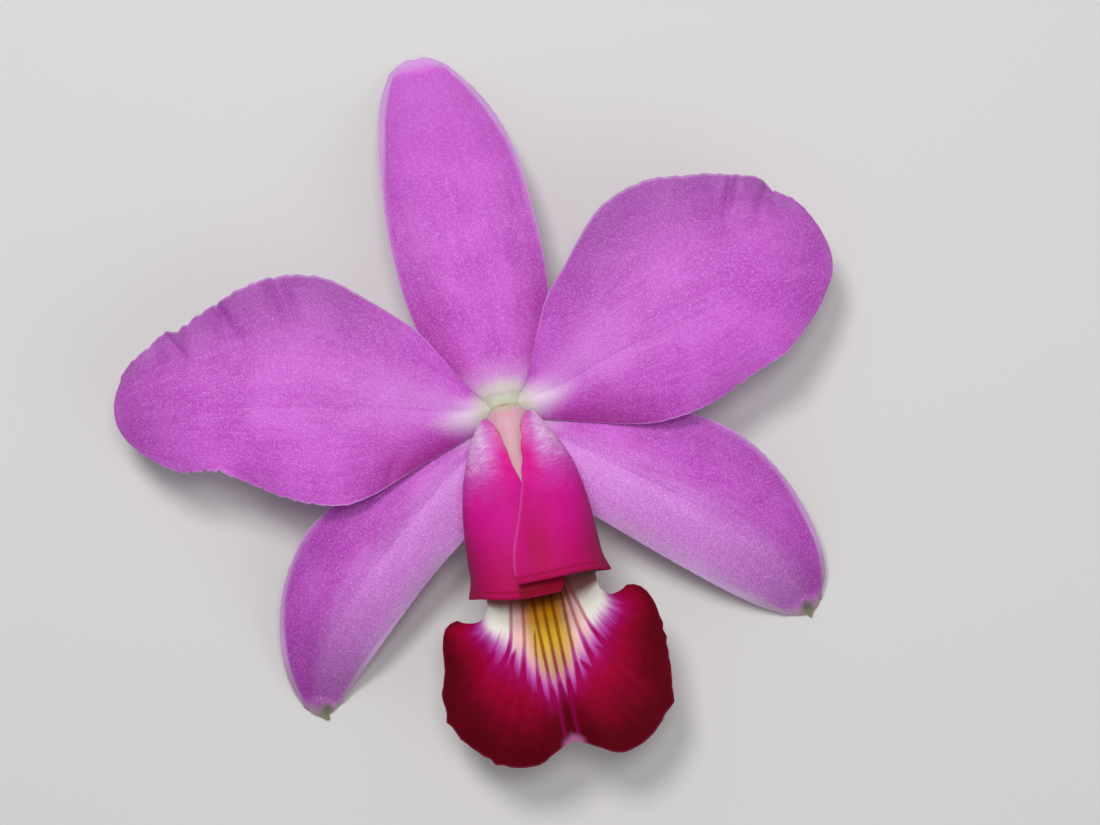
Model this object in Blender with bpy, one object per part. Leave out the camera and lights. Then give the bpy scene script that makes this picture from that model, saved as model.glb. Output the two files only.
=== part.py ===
# A cattleya orchid bloom as picked, lying on its back with its face up.
#
# Three sepals, two broad petals and a lip rolled into a tube round the column are carried by one
# receptacle, whose ovary and stalk bend under the bloom. The bloom rests on its three sepal tips.
#
# Frame: +Z up, out of the face of the bloom; +Y towards the tip of the dorsal sepal; +X to the
# right as one looks into the face. Driving dimensions are in millimetres, measured from the middle
# of the receptacle and from the surface that the bloom lies on.

import math

import bmesh
import bpy
import numpy as np

MM = 0.001

# The middle of the receptacle, seen from the middle of the bloom's box (mm).
BLOOM_AT = (3.08, -1.46, 0.0)

SEPAL_THICKNESS = 0.85
PETAL_THICKNESS = 0.8
LIP_THICKNESS = 0.7

# Each blade is drawn by three rails from its base to its tip: the margins on the left and on the
# right as one looks from the base to the tip, and the midrib. A point is (x, y, height).
# A ripple is (side, share of the length, half length as a share, height): side -1 is the left
# margin and +1 the right one.
SEPAL_DORSAL = {
    "left": [
        (-4.6, 3.6, 13.6), (-7.6, 8.0, 14.0), (-10.6, 13.2, 14.6), (-12.6, 19.6, 15.2), (-13.4, 26.2, 15.4),
        (-13.5, 33.0, 14.7), (-13.0, 40.4, 12.6), (-11.9, 48.4, 8.6), (-10.2, 55.4, 4.0), (-7.7, 60.2, 1.2),
    ],
    "midrib": [
        (-0.4, 4.6, 13.6), (-0.4, 12.0, 15.6), (-0.8, 22.0, 16.6), (-1.2, 32.0, 15.9), (-1.6, 42.0, 13.1),
        (-2.1, 50.4, 7.9), (-2.6, 56.0, 3.2), (-2.9, 59.4, 0.35), (-3.0, 62.4, -0.8),
    ],
    "right": [
        (3.8, 3.6, 13.6), (6.4, 8.0, 14.0), (9.0, 13.2, 14.6), (10.7, 19.6, 15.2), (11.2, 26.2, 15.4),
        (11.1, 33.0, 14.7), (10.5, 40.8, 12.6), (8.7, 48.2, 8.6), (5.6, 54.9, 4.0), (2.0, 59.8, 1.2),
    ],
    "ripples": [(-1, 0.45, 0.10, 0.5), (1, 0.62, 0.09, 0.5), (1, 0.30, 0.08, -0.4)],
}
SEPAL_LEFT = {
    "left": [
        (-1.7, -4.2, 13.4), (-3.4, -8.2, 13.8), (-5.5, -12.6, 14.3), (-8.3, -16.9, 14.7), (-11.9, -20.2, 14.6),
        (-15.6, -22.9, 14.1), (-20.2, -26.6, 12.7), (-25.4, -31.2, 10.3), (-30.6, -36.0, 7.0),
        (-34.9, -40.0, 3.6), (-38.2, -43.2, 1.2),
    ],
    "midrib": [
        (-3.0, -3.1, 13.4), (-7.0, -6.0, 14.8), (-11.8, -9.2, 16.0), (-17.0, -13.0, 16.5), (-22.5, -17.2, 16.0),
        (-28.2, -21.8, 14.2), (-33.4, -26.8, 11.4), (-37.6, -32.0, 7.9), (-40.4, -37.2, 3.9),
        (-41.7, -41.8, 0.35), (-42.2, -45.2, -0.8),
    ],
    "right": [
        (-4.6, -1.4, 13.4), (-8.8, -1.8, 13.8), (-14.1, -2.4, 14.4), (-20.1, -4.0, 14.9), (-26.1, -6.6, 15.0),
        (-31.7, -9.7, 14.4), (-36.8, -13.0, 13.1), (-40.7, -17.4, 11.2), (-43.7, -22.5, 9.1),
        (-45.6, -28.0, 6.8), (-46.5, -33.6, 4.6), (-46.3, -38.6, 2.6), (-45.0, -42.8, 1.2),
    ],
    "ripples": [(1, 0.62, 0.10, 0.5), (-1, 0.55, 0.10, -0.4), (-1, 0.80, 0.07, 0.4)],
}
SEPAL_RIGHT = {
    "left": [
        (3.8, -1.4, 13.4), (8.6, -1.8, 13.8), (14.0, -2.4, 14.2), (20.1, -3.7, 14.6), (26.1, -5.6, 14.6),
        (31.1, -7.9, 14.1), (35.7, -11.0, 12.9), (39.8, -15.3, 11.2), (43.5, -21.4, 9.1),
        (45.9, -27.4, 6.8), (47.3, -33.2, 4.5), (47.4, -38.4, 2.6), (46.0, -42.6, 1.2),
    ],
    "midrib": [
        (2.2, -3.1, 13.4), (6.4, -6.0, 14.8), (11.5, -9.6, 15.9), (17.0, -13.8, 16.3), (23.0, -18.5, 15.4),
        (29.1, -23.6, 13.5), (34.3, -28.4, 10.7), (38.5, -33.3, 7.3), (41.6, -38.2, 3.6),
        (43.0, -42.2, 0.35), (43.6, -45.2, -0.8),
    ],
    "right": [
        (0.9, -4.2, 13.4), (2.8, -8.6, 13.8), (4.9, -13.2, 14.3), (7.4, -17.4, 14.6), (10.8, -20.8, 14.5),
        (14.8, -24.5, 13.9), (20.1, -29.4, 12.0), (25.2, -34.0, 9.4), (30.4, -38.5, 6.1),
        (35.2, -42.2, 3.2), (39.2, -44.6, 1.2),
    ],
    "ripples": [(-1, 0.60, 0.10, 0.5), (1, 0.45, 0.09, -0.4), (1, 0.72, 0.08, 0.4)],
}
PETAL_LEFT = {
    "left": [
        (-4.8, -2.4, 15.2), (-9.0, -4.0, 16.0), (-14.0, -5.7, 17.1), (-19.0, -7.5, 18.3), (-24.0, -9.3, 19.3),
        (-29.2, -10.2, 20.1), (-34.2, -9.0, 20.5), (-39.6, -6.5, 20.5), (-44.6, -3.1, 20.1), (-49.6, -0.2, 19.7),
        (-54.7, 0.6, 18.9), (-58.3, 2.7, 17.7), (-61.6, 5.6, 16.3),
    ],
    "midrib": [
        (-4.6, 0.2, 15.2), (-10.0, 1.6, 18.0), (-17.0, 3.7, 20.3), (-25.0, 5.6, 21.8), (-33.0, 7.3, 22.4),
        (-41.0, 8.8, 22.0), (-49.0, 9.8, 20.6), (-56.0, 10.4, 18.6), (-61.0, 10.7, 16.4), (-64.4, 10.9, 14.6),
    ],
    "right": [
        (-4.2, 2.6, 15.2), (-6.6, 6.2, 15.9), (-9.0, 10.5, 16.7), (-12.2, 15.8, 17.7), (-16.4, 20.1, 18.6),
        (-20.4, 23.7, 19.1), (-24.3, 26.9, 19.3), (-28.8, 28.7, 19.3), (-33.8, 29.3, 19.3), (-38.7, 28.6, 19.3),
        (-43.7, 27.0, 19.2), (-48.6, 25.1, 18.9), (-50.6, 23.9, 18.6), (-53.0, 24.1, 18.4), (-57.2, 21.8, 17.7),
        (-60.8, 19.6, 16.7), (-63.2, 16.4, 15.6),
    ],
    "ripples": [
        (1, 0.52, 0.035, -0.8), (1, 0.60, 0.040, 0.6), (1, 0.70, 0.030, -1.1), (1, 0.77, 0.030, 0.9),
        (1, 0.85, 0.025, -0.9), (1, 0.92, 0.030, 0.6), (-1, 0.45, 0.060, 0.6), (-1, 0.62, 0.050, -0.7),
        (-1, 0.76, 0.040, 0.8), (-1, 0.87, 0.035, -0.7),
    ],
}
PETAL_RIGHT = {
    "left": [
        (3.6, 2.6, 15.2), (5.6, 6.8, 15.9), (7.8, 11.8, 16.9), (10.4, 16.8, 17.7), (14.0, 20.8, 18.4),
        (18.0, 25.6, 18.9), (21.9, 29.3, 19.0), (26.4, 31.4, 18.8), (31.4, 32.3, 18.5), (36.4, 31.7, 18.2),
        (40.9, 31.2, 17.9), (45.0, 30.1, 17.6), (49.1, 28.7, 17.1), (51.2, 26.2, 16.8), (54.0, 24.2, 16.3),
        (56.4, 20.8, 15.6),
    ],
    "midrib": [
        (3.8, 0.2, 15.2), (9.0, 1.8, 18.2), (15.0, 3.8, 20.5), (22.0, 5.9, 22.0), (30.0, 7.9, 22.5),
        (38.0, 9.7, 21.9), (46.0, 11.5, 20.1), (52.0, 12.8, 17.9), (56.0, 13.6, 15.9), (58.3, 13.9, 14.6),
    ],
    "right": [
        (4.0, -2.4, 15.2), (8.6, -3.8, 15.9), (14.0, -5.3, 16.7), (19.0, -6.7, 17.3), (24.0, -7.5, 17.9),
        (30.0, -7.0, 18.5), (36.0, -5.3, 18.8), (41.8, -2.7, 18.6), (47.3, -0.6, 18.0), (51.0, 2.3, 17.2),
        (54.3, 5.4, 16.2), (56.7, 8.9, 15.2),
    ],
    "ripples": [
        (-1, 0.56, 0.035, -0.6), (-1, 0.65, 0.035, 0.8), (-1, 0.73, 0.025, -0.7), (-1, 0.80, 0.025, 1.0),
        (-1, 0.87, 0.022, -0.9), (-1, 0.95, 0.030, 0.5), (1, 0.40, 0.060, 0.7), (1, 0.58, 0.050, -0.6),
        (1, 0.74, 0.045, 0.7), (1, 0.88, 0.040, -0.6),
    ],
}
RIPPLE_POWER = 4.0
ROW_CROWDING = 1.2     # rows draw closer towards the tip
CHANNEL_DEPTH = 0.45
CHANNEL_HALF_WIDTH = 0.16
CHANNEL_DEEPENS = (0.0, 0.1)
CHANNEL_RUNS_OUT = (0.4, 0.9)
SHARP_EDGE = math.radians(50)

SEPAL_ROWS, SEPAL_COLUMNS = 25, 11
PETAL_ROWS, PETAL_COLUMNS = 29, 15

# The rolled part of the lip, cut across at each y: middle, half width, heights of the floor, the
# widest place and the roof, and where the left and the right lobe's free margins lie on the roof.
LIP_STATIONS = [
    # y, middle, half width, floor, side, roof, left margin, right margin
    (-0.6, -0.4, 4.8, 15.9, 18.6, 21.3, -3.8, 3.0),
    (-2.6, -0.4, 6.0, 16.6, 19.5, 24.0, -2.4, 1.9),
    (-5.0, -0.4, 7.0, 17.4, 20.6, 25.9, -1.8, 1.4),
    (-8.0, -0.3, 8.0, 18.2, 21.9, 27.8, -1.2, 0.9),
    (-11.5, -0.3, 9.1, 19.1, 23.4, 29.6, -0.3, 0.2),
    (-17.0, -0.4, 10.1, 20.4, 25.6, 32.4, 1.2, -1.4),
    (-23.0, -0.5, 10.5, 21.8, 27.8, 35.0, 2.6, -3.4),
    (-27.0, -0.5, 10.7, 22.7, 29.3, 36.8, 3.2, -4.1),
    (-29.2, -0.5, 11.3, 23.1, 30.3, 38.0, 3.4, -3.8),
]
# Ranges ending in ALONG are shares of the tube's length, the others angles from the floor's middle.
LIP_CLAW_REACH = 3.4       # how much further out the floor starts than the lobes
LIP_CLAW_ALONG = 0.35
LIP_LOBE_STEP = 1.4        # the right lobe lies this much above the left one
LIP_LOBE_STEP_ALONG = (0.12, 0.32)
LIP_ROOF = (math.radians(95), math.radians(140))
LIP_LEFT_LOBE_LONGER = 1.7
LIP_LEFT_LOBE = (math.radians(80), math.radians(150))
LIP_LEFT_LOBE_ALONG = (0.5, 1.0)
LIP_CORNER_FLARE = 0.4
LIP_CORNER_AT = math.radians(95)
LIP_CORNER_HALF_ANGLE = math.radians(16)
LIP_CORNER_ALONG = (0.88, 1.0)
LIP_FLOOR_HALF_ANGLE = math.radians(53)
LIP_ROWS = 15
LIP_FLOOR_COLUMNS = 24
LIP_LOBE_COLUMNS = 13

# The free front of the lip fans out from the tube's floor to this outer margin, which runs from
# the left shoulder round the left half, the notch and the right half to the right shoulder.
MIDLOBE_MARGIN = [
    (-15.4, -32.7, 21.0), (-17.3, -33.4, 20.2), (-18.5, -36.2, 19.6), (-19.1, -40.4, 19.0), (-20.3, -44.8, 18.6),
    (-20.0, -49.0, 18.4), (-18.8, -52.4, 18.4), (-15.4, -56.0, 18.6), (-11.0, -58.6, 19.2), (-7.0, -59.0, 20.2),
    (-3.9, -57.4, 21.2), (-0.6, -56.2, 21.8), (2.5, -57.6, 21.2), (7.0, -59.8, 20.0), (11.0, -58.8, 19.2),
    (14.5, -56.0, 18.6), (17.0, -52.2, 18.2), (17.6, -47.0, 18.0), (18.1, -42.4, 18.2), (17.4, -37.2, 18.8),
    (16.2, -34.2, 19.6), (14.9, -33.0, 20.3), (13.4, -32.7, 20.9),
]
# Each line of the fan leaves the tube straight ahead and meets the margin along a direction that
# turns from one shoulder to the other: (at the edges, added at the middle) for both handles.
MIDLOBE_LEAVING = (4.8, 4.8)
MIDLOBE_MEETING = (3.6, 5.4)
MIDLOBE_FIRST_TURN = math.radians(-32)
MIDLOBE_WHOLE_TURN = math.radians(244)
MIDLOBE_LEAVING_RISE = 0.12
MIDLOBE_MEETING_RISE = 0.25
MIDLOBE_ROWS = 12
MIDLOBE_SWELL = 1.3
MIDLOBE_SWELL_POWER = 0.7
MIDLOBE_VALLEY = 0.9
MIDLOBE_VALLEY_HALF_WIDTH = 0.06
MIDLOBE_VALLEY_ALONG = (0.25, 0.75)
MIDLOBE_WAVES = 9.0
MIDLOBE_WAVE_HEIGHT = 0.5
MIDLOBE_WAVE_START = 0.6
MIDLOBE_WAVE_POWER = 5

# The column: middle line, half width and half depth at each place.
COLUMN_STATIONS = [
    (-0.4, -1.3, 17.2, 3.0, 2.0), (-0.4, -1.5, 18.2, 3.3, 2.1), (-0.4, -3.1, 20.2, 3.3, 2.1),
    (-0.4, -6.4, 22.4, 3.2, 2.1), (-0.3, -11.6, 25.1, 3.2, 2.3), (-0.3, -17.0, 27.8, 3.5, 2.4),
    (-0.3, -21.6, 29.8, 3.9, 2.5), (-0.3, -24.4, 30.8, 3.6, 2.2),
]
COLUMN_SIDES = 20
COLUMN_RINGS = 16
ANTHER_CAP_GAP = 0.3
ANTHER_CAP_SIZE = (2.5, 2.0, 1.9)
ANTHER_CAP_SIDES = 16
ANTHER_CAP_RINGS = 6

# The receptacle, the ovary and the stalk in one piece: middle line and radius at each place.
PEDICEL_STATIONS = [
    (-0.4, 0.3, 16.9, 0.7), (-0.4, 0.3, 16.75, 2.1), (-0.4, 0.3, 16.2, 3.3), (-0.4, 0.3, 15.2, 3.78),
    (-0.4, 0.3, 13.4, 3.8), (-0.4, 0.1, 11.4, 3.45), (-0.4, -1.2, 8.6, 2.95), (-0.4, -4.4, 5.5, 2.7),
    (-0.4, -9.2, 3.7, 2.6), (-0.4, -15.0, 3.0, 2.5), (-0.4, -22.0, 2.6, 2.2), (-0.4, -28.0, 2.1, 1.8),
    (-0.4, -36.0, 1.95, 1.65), (-0.4, -46.0, 2.05, 1.75), (-0.4, -48.5, 2.25, 1.95),
]
PEDICEL_SIDES = 24
PEDICEL_RINGS = 40
OVARY_RIBS = 6
OVARY_RIB_HEIGHT = 0.05
OVARY_RISES = (1.0, 6.0)       # the ribs fade in and out over these distances below the bloom's middle
OVARY_ENDS = (22.0, 28.0)

# Colour, roughness and metallic value of each material.
FINISHES = {
    "sepal_petal_tissue": ((0.62, 0.18, 0.62, 1.0), 0.5, 0.0),
    "lip_tissue": ((0.55, 0.01, 0.14, 1.0), 0.45, 0.0),
    "column_tissue": ((0.85, 0.55, 0.60, 1.0), 0.5, 0.0),
    "anther_tissue": ((0.85, 0.78, 0.70, 1.0), 0.5, 0.0),
    "stalk_tissue": ((0.30, 0.38, 0.14, 1.0), 0.5, 0.0),
}


def remove_everything():
    for thing in list(bpy.data.objects):
        bpy.data.objects.remove(thing, do_unlink=True)


def smooth_line(points, shares, plan_length=True):
    """Points at the given shares of the length of a smooth line through the control points."""
    points = np.array(points, dtype=float)
    measured = points[:, :2] if plan_length else points[:, :3]
    steps = np.linalg.norm(np.diff(measured, axis=0), axis=1)
    knots = np.concatenate([[0.0], np.cumsum(np.maximum(steps, 1e-6))])
    slopes = np.empty_like(points)
    slopes[1:-1] = (points[2:] - points[:-2]) / (knots[2:] - knots[:-2])[:, None]
    slopes[0] = (points[1] - points[0]) / (knots[1] - knots[0])
    slopes[-1] = (points[-1] - points[-2]) / (knots[-1] - knots[-2])
    dense = []
    for first in range(len(points) - 1):
        span = knots[first + 1] - knots[first]
        t = np.linspace(0.0, 1.0, 24, endpoint=first == len(points) - 2)[:, None]
        dense.append(
            (2 * t**3 - 3 * t**2 + 1) * points[first] + (t**3 - 2 * t**2 + t) * span * slopes[first]
            + (3 * t**2 - 2 * t**3) * points[first + 1] + (t**3 - t**2) * span * slopes[first + 1]
        )
    dense = np.concatenate(dense)
    width = 2 if plan_length else 3
    walked = np.concatenate([[0.0], np.cumsum(np.linalg.norm(np.diff(dense[:, :width], axis=0), axis=1))])
    wanted = np.asarray(shares) * walked[-1]
    return np.stack([np.interp(wanted, walked, dense[:, axis]) for axis in range(points.shape[1])], axis=1)


def smooth_rise(value, start, end):
    """0 up to the start, 1 from the end on, and a smooth slope between them."""
    value = np.clip((value - start) / (end - start), 0.0, 1.0)
    return value * value * (3.0 - 2.0 * value)


def grid_quads(rows, columns, first=0):
    quads = []
    for row in range(rows - 1):
        for column in range(columns - 1):
            a = first + row * columns + column
            quads.append((a, a + 1, a + 1 + columns, a + columns))
    return quads


def split_quads(quads):
    triangles = []
    for a, b, c, d in quads:
        triangles.append((a, b, c))
        triangles.append((a, c, d))
    return triangles


def vertex_normals(points, triangles):
    corners = points[np.array(triangles)]
    face_normals = np.cross(corners[:, 1] - corners[:, 0], corners[:, 2] - corners[:, 0])
    normals = np.zeros_like(points)
    for corner in range(3):
        np.add.at(normals, np.array(triangles)[:, corner], face_normals)
    return normals / np.linalg.norm(normals, axis=1)[:, None]


def add_object(name, points, triangles, material, holder):
    """An object from points in millimetres and faces, held by the empty that places the bloom."""
    mesh = bpy.data.meshes.new(name)
    work = bmesh.new()
    corners = [work.verts.new([value * MM for value in point]) for point in points]
    for triangle in triangles:
        work.faces.new([corners[index] for index in triangle])
    work.to_mesh(mesh)
    work.free()
    mesh.shade_smooth()
    mesh.set_sharp_from_angle(angle=SHARP_EDGE)
    mesh.materials.append(material)
    thing = bpy.data.objects.new(name, mesh)
    bpy.context.scene.collection.objects.link(thing)
    thing.parent = holder
    return thing


def thick_sheet(points, quads, thickness, resting=False):
    """A closed blade: the sheet moved half its thickness each way, and a rim round its border."""
    triangles = split_quads(quads)
    normals = vertex_normals(points, triangles)
    front = points + normals * thickness / 2
    back = points - normals * thickness / 2
    if resting:
        lying = points[:, 2] < thickness / 2
        back[lying, 2] = 0.0
        front[lying, 2] = thickness
        back[:, 2] = np.maximum(back[:, 2], 0.0)
    count = len(points)
    solid = list(triangles)
    solid += [(c + count, b + count, a + count) for a, b, c in triangles]
    used = set()
    for a, b, c in triangles:
        used.update([(a, b), (b, c), (c, a)])
    for a, b in sorted(used):
        if (b, a) not in used:
            solid.append((b, a, a + count))
            solid.append((b, a + count, b + count))
    return np.concatenate([front, back]), solid


def blade(name, rails, rows, columns, thickness, material, holder, resting=False):
    """A sepal or a petal from its three rails, with a midrib channel and rippled margins."""
    shares = 1 - np.linspace(1.0, 0.0, rows) ** ROW_CROWDING
    left = smooth_line(rails["left"], shares)
    midrib = smooth_line(rails["midrib"], shares)
    right = smooth_line(rails["right"], shares)
    across = np.linspace(-1.0, 1.0, columns)[None, :, None]
    points = left[:, None] * across * (across - 1) / 2 + midrib[:, None] * (1 - across**2)
    points = points + right[:, None] * across * (across + 1) / 2
    across = across[:, :, 0]
    along = shares[:, None]
    for side, place, half_length, height in rails["ripples"]:
        wave = np.exp(-(((along - place) / half_length) ** 2))
        points[:, :, 2] += height * wave * np.clip(side * across, 0.0, 1.0) ** RIPPLE_POWER
    channel = np.exp(-((across / CHANNEL_HALF_WIDTH) ** 2)) * smooth_rise(along, *CHANNEL_DEEPENS)
    channel = channel * (1 - smooth_rise(along, *CHANNEL_RUNS_OUT))
    points[:, :, 2] -= CHANNEL_DEPTH * channel
    points = points.reshape(-1, 3)
    solid_points, faces = thick_sheet(points, grid_quads(rows, columns), thickness, resting)
    return add_object(name, solid_points, faces, material, holder)


def lip_tube():
    """The rolled part: rows from the claw to the rim, columns from the left lobe's free margin
    round the floor to the right lobe's, each point at an angle round the section."""
    shares = np.linspace(0.0, 1.0, LIP_ROWS)
    y, middle, half_width, floor, side, roof, left_margin, right_margin = smooth_line(
        [(0.0, station[0]) + station for station in LIP_STATIONS], shares
    )[:, 2:].T
    left_end = -math.pi - np.arcsin((left_margin - middle) / half_width)
    right_end = math.pi - np.arcsin((right_margin - middle) / half_width)
    angles = []
    for row in range(LIP_ROWS):
        left_lobe = np.linspace(left_end[row], -LIP_FLOOR_HALF_ANGLE, LIP_LOBE_COLUMNS, endpoint=False)
        bottom = np.linspace(-LIP_FLOOR_HALF_ANGLE, LIP_FLOOR_HALF_ANGLE, LIP_FLOOR_COLUMNS + 1)
        right_lobe = np.linspace(right_end[row], LIP_FLOOR_HALF_ANGLE, LIP_LOBE_COLUMNS, endpoint=False)[::-1]
        angles.append(np.concatenate([left_lobe, bottom, right_lobe]))
    angle = np.array(angles)
    s = shares[:, None]
    depth = np.where(np.cos(angle) > 0, (side - floor)[:, None], (roof - side)[:, None])
    corner = np.exp(-(((np.abs(angle) - LIP_CORNER_AT) / LIP_CORNER_HALF_ANGLE) ** 2))
    corner = corner * smooth_rise(s, *LIP_CORNER_ALONG)
    x = middle[:, None] + (half_width[:, None] + LIP_CORNER_FLARE * corner) * np.sin(angle)
    z = side[:, None] - depth * np.cos(angle)
    lobe_step = smooth_rise(s, *LIP_LOBE_STEP_ALONG) * smooth_rise(np.abs(angle), *LIP_ROOF)
    z += np.sign(angle) * LIP_LOBE_STEP / 2 * lobe_step
    y = y[:, None] - LIP_CLAW_REACH * (1 + np.cos(angle)) / 2 * (1 - smooth_rise(s, 0.0, LIP_CLAW_ALONG))
    y -= LIP_LEFT_LOBE_LONGER * smooth_rise(-angle, *LIP_LEFT_LOBE) * smooth_rise(s, *LIP_LEFT_LOBE_ALONG)
    return np.stack([x, y, z], axis=2)


def lip(material, holder):
    """The tube, and the front lobe that fans out from its floor at the rim."""
    tube = lip_tube()
    columns = tube.shape[1]
    first = LIP_LOBE_COLUMNS
    last = LIP_LOBE_COLUMNS + LIP_FLOOR_COLUMNS
    start = tube[-1, first:last + 1]
    across = np.linspace(0.0, 1.0, LIP_FLOOR_COLUMNS + 1)
    outer = smooth_line(MIDLOBE_MARGIN, across)
    belly = np.sin(math.pi * across)
    leaving = MIDLOBE_LEAVING[0] + MIDLOBE_LEAVING[1] * belly
    meeting = MIDLOBE_MEETING[0] + MIDLOBE_MEETING[1] * belly
    turn = MIDLOBE_FIRST_TURN + MIDLOBE_WHOLE_TURN * across
    first_handle = start + leaving[:, None] * np.array([0.0, -1.0, MIDLOBE_LEAVING_RISE])
    inward = np.stack([np.cos(turn), np.sin(turn), np.full_like(turn, MIDLOBE_MEETING_RISE)], axis=1)
    last_handle = outer + meeting[:, None] * inward
    u = across[None, :]
    v = np.linspace(0.0, 1.0, MIDLOBE_ROWS)[:, None]
    w = v[:, :, None]
    free = (1 - w) ** 3 * start + 3 * w * (1 - w) ** 2 * first_handle
    free = free + 3 * w**2 * (1 - w) * last_handle + w**3 * outer
    swell = np.sin(math.pi * v) * np.abs(np.sin(2 * math.pi * u)) ** MIDLOBE_SWELL_POWER
    valley = np.exp(-(((u - 0.5) / MIDLOBE_VALLEY_HALF_WIDTH) ** 2)) * smooth_rise(v, *MIDLOBE_VALLEY_ALONG)
    waves = np.sin(2 * math.pi * MIDLOBE_WAVES * u + MIDLOBE_WAVE_START) * v**MIDLOBE_WAVE_POWER
    free[:, :, 2] += MIDLOBE_SWELL * swell - MIDLOBE_VALLEY * valley
    free[:, :, 2] += MIDLOBE_WAVE_HEIGHT * waves * np.sin(math.pi * u)
    points = np.concatenate([tube.reshape(-1, 3), free[1:].reshape(-1, 3)])
    quads = grid_quads(LIP_ROWS, columns)
    width = LIP_FLOOR_COLUMNS + 1
    body = LIP_ROWS * columns
    rim = (LIP_ROWS - 1) * columns + first
    for column in range(LIP_FLOOR_COLUMNS):
        quads.append((rim + column, rim + column + 1, body + column + 1, body + column))
    quads += grid_quads(MIDLOBE_ROWS - 1, width, body)
    solid_points, faces = thick_sheet(points, quads, LIP_THICKNESS)
    return add_object("lip", solid_points, faces, material, holder)


def swept_body(name, line, sections, sides, material, holder):
    """A closed body round a line in the plane x = constant. Each section is (half width, half
    depth) or a function of the angle, and both ends are closed by a fan."""
    line = np.array(line, dtype=float)
    forward = np.gradient(line, axis=0)
    forward /= np.linalg.norm(forward, axis=1)[:, None]
    sideways = np.array([1.0, 0.0, 0.0])
    points = []
    for centre, ahead, section in zip(line, forward, sections):
        up = np.cross(ahead, sideways)
        for step in range(sides):
            angle = 2 * math.pi * step / sides
            wide, deep = section(angle)
            points.append(centre + sideways * wide * math.cos(angle) + up * deep * math.sin(angle))
    rings = len(line)
    faces = []
    for ring in range(rings - 1):
        for step in range(sides):
            a = ring * sides + step
            b = ring * sides + (step + 1) % sides
            faces.append((a, b, b + sides))
            faces.append((a, b + sides, a + sides))
    for centre, ring in ((line[0], 0), (line[-1], rings - 1)):
        hub = len(points)
        points.append(centre)
        for step in range(sides):
            a = ring * sides + step
            b = ring * sides + (step + 1) % sides
            faces.append((b, a, hub) if ring == 0 else (a, b, hub))
    return add_object(name, np.array(points), faces, material, holder)


def column(material, holder):
    places = smooth_line(COLUMN_STATIONS, np.linspace(0.0, 1.0, COLUMN_RINGS), plan_length=False)

    def section(half_width, half_depth):
        return lambda angle: (half_width, half_depth)

    sections = [section(*place[3:]) for place in places]
    return swept_body("column", places[:, :3], sections, COLUMN_SIDES, material, holder)


def anther_cap(material, holder):
    """A small helmet seated against the column's free end."""
    end = np.array(COLUMN_STATIONS[-1][:3])
    before = np.array(COLUMN_STATIONS[-2][:3])
    ahead = (end - before) / np.linalg.norm(end - before)
    half_width, half_depth, length = ANTHER_CAP_SIZE
    reach = np.linspace(0.0, 1.0, ANTHER_CAP_RINGS, endpoint=False)
    line = [end + ahead * (ANTHER_CAP_GAP + length * share) for share in reach]

    def section(share):
        size = math.sqrt(1 - share**2)
        return lambda angle: (half_width * size, half_depth * size)

    sections = [section(share) for share in reach]
    return swept_body("anther_cap", line, sections, ANTHER_CAP_SIDES, material, holder)


def pedicel(material, holder):
    places = smooth_line(PEDICEL_STATIONS, np.linspace(0.0, 1.0, PEDICEL_RINGS), plan_length=False)

    def section(place):
        ribbed = smooth_rise(-place[1], *OVARY_RISES) * (1 - smooth_rise(-place[1], *OVARY_ENDS))

        def at(angle):
            radius = place[3] * (1 + OVARY_RIB_HEIGHT * ribbed * (math.cos(OVARY_RIBS * angle) - 1))
            return radius, radius

        return at

    sections = [section(place) for place in places]
    return swept_body("pedicel", places[:, :3], sections, PEDICEL_SIDES, material, holder)


def material(name):
    colour, roughness, metallic = FINISHES[name]
    finish = bpy.data.materials.new(name)
    finish.use_nodes = True
    shader = finish.node_tree.nodes["Principled BSDF"]
    shader.inputs["Base Color"].default_value = colour
    shader.inputs["Roughness"].default_value = roughness
    shader.inputs["Metallic"].default_value = metallic
    finish.diffuse_color = colour
    return finish


def main():
    remove_everything()
    holder = bpy.data.objects.new("bloom_place", None)
    holder.location = [value * MM for value in BLOOM_AT]
    bpy.context.scene.collection.objects.link(holder)
    tepal = material("sepal_petal_tissue")
    for name, rails in (("sepal_dorsal", SEPAL_DORSAL), ("sepal_left", SEPAL_LEFT), ("sepal_right", SEPAL_RIGHT)):
        blade(name, rails, SEPAL_ROWS, SEPAL_COLUMNS, SEPAL_THICKNESS, tepal, holder, resting=True)
    for name, rails in (("petal_left", PETAL_LEFT), ("petal_right", PETAL_RIGHT)):
        blade(name, rails, PETAL_ROWS, PETAL_COLUMNS, PETAL_THICKNESS, tepal, holder)
    lip(material("lip_tissue"), holder)
    column(material("column_tissue"), holder)
    anther_cap(material("anther_tissue"), holder)
    pedicel(material("stalk_tissue"), holder)


main()
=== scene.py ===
from math import pi, radians

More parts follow.
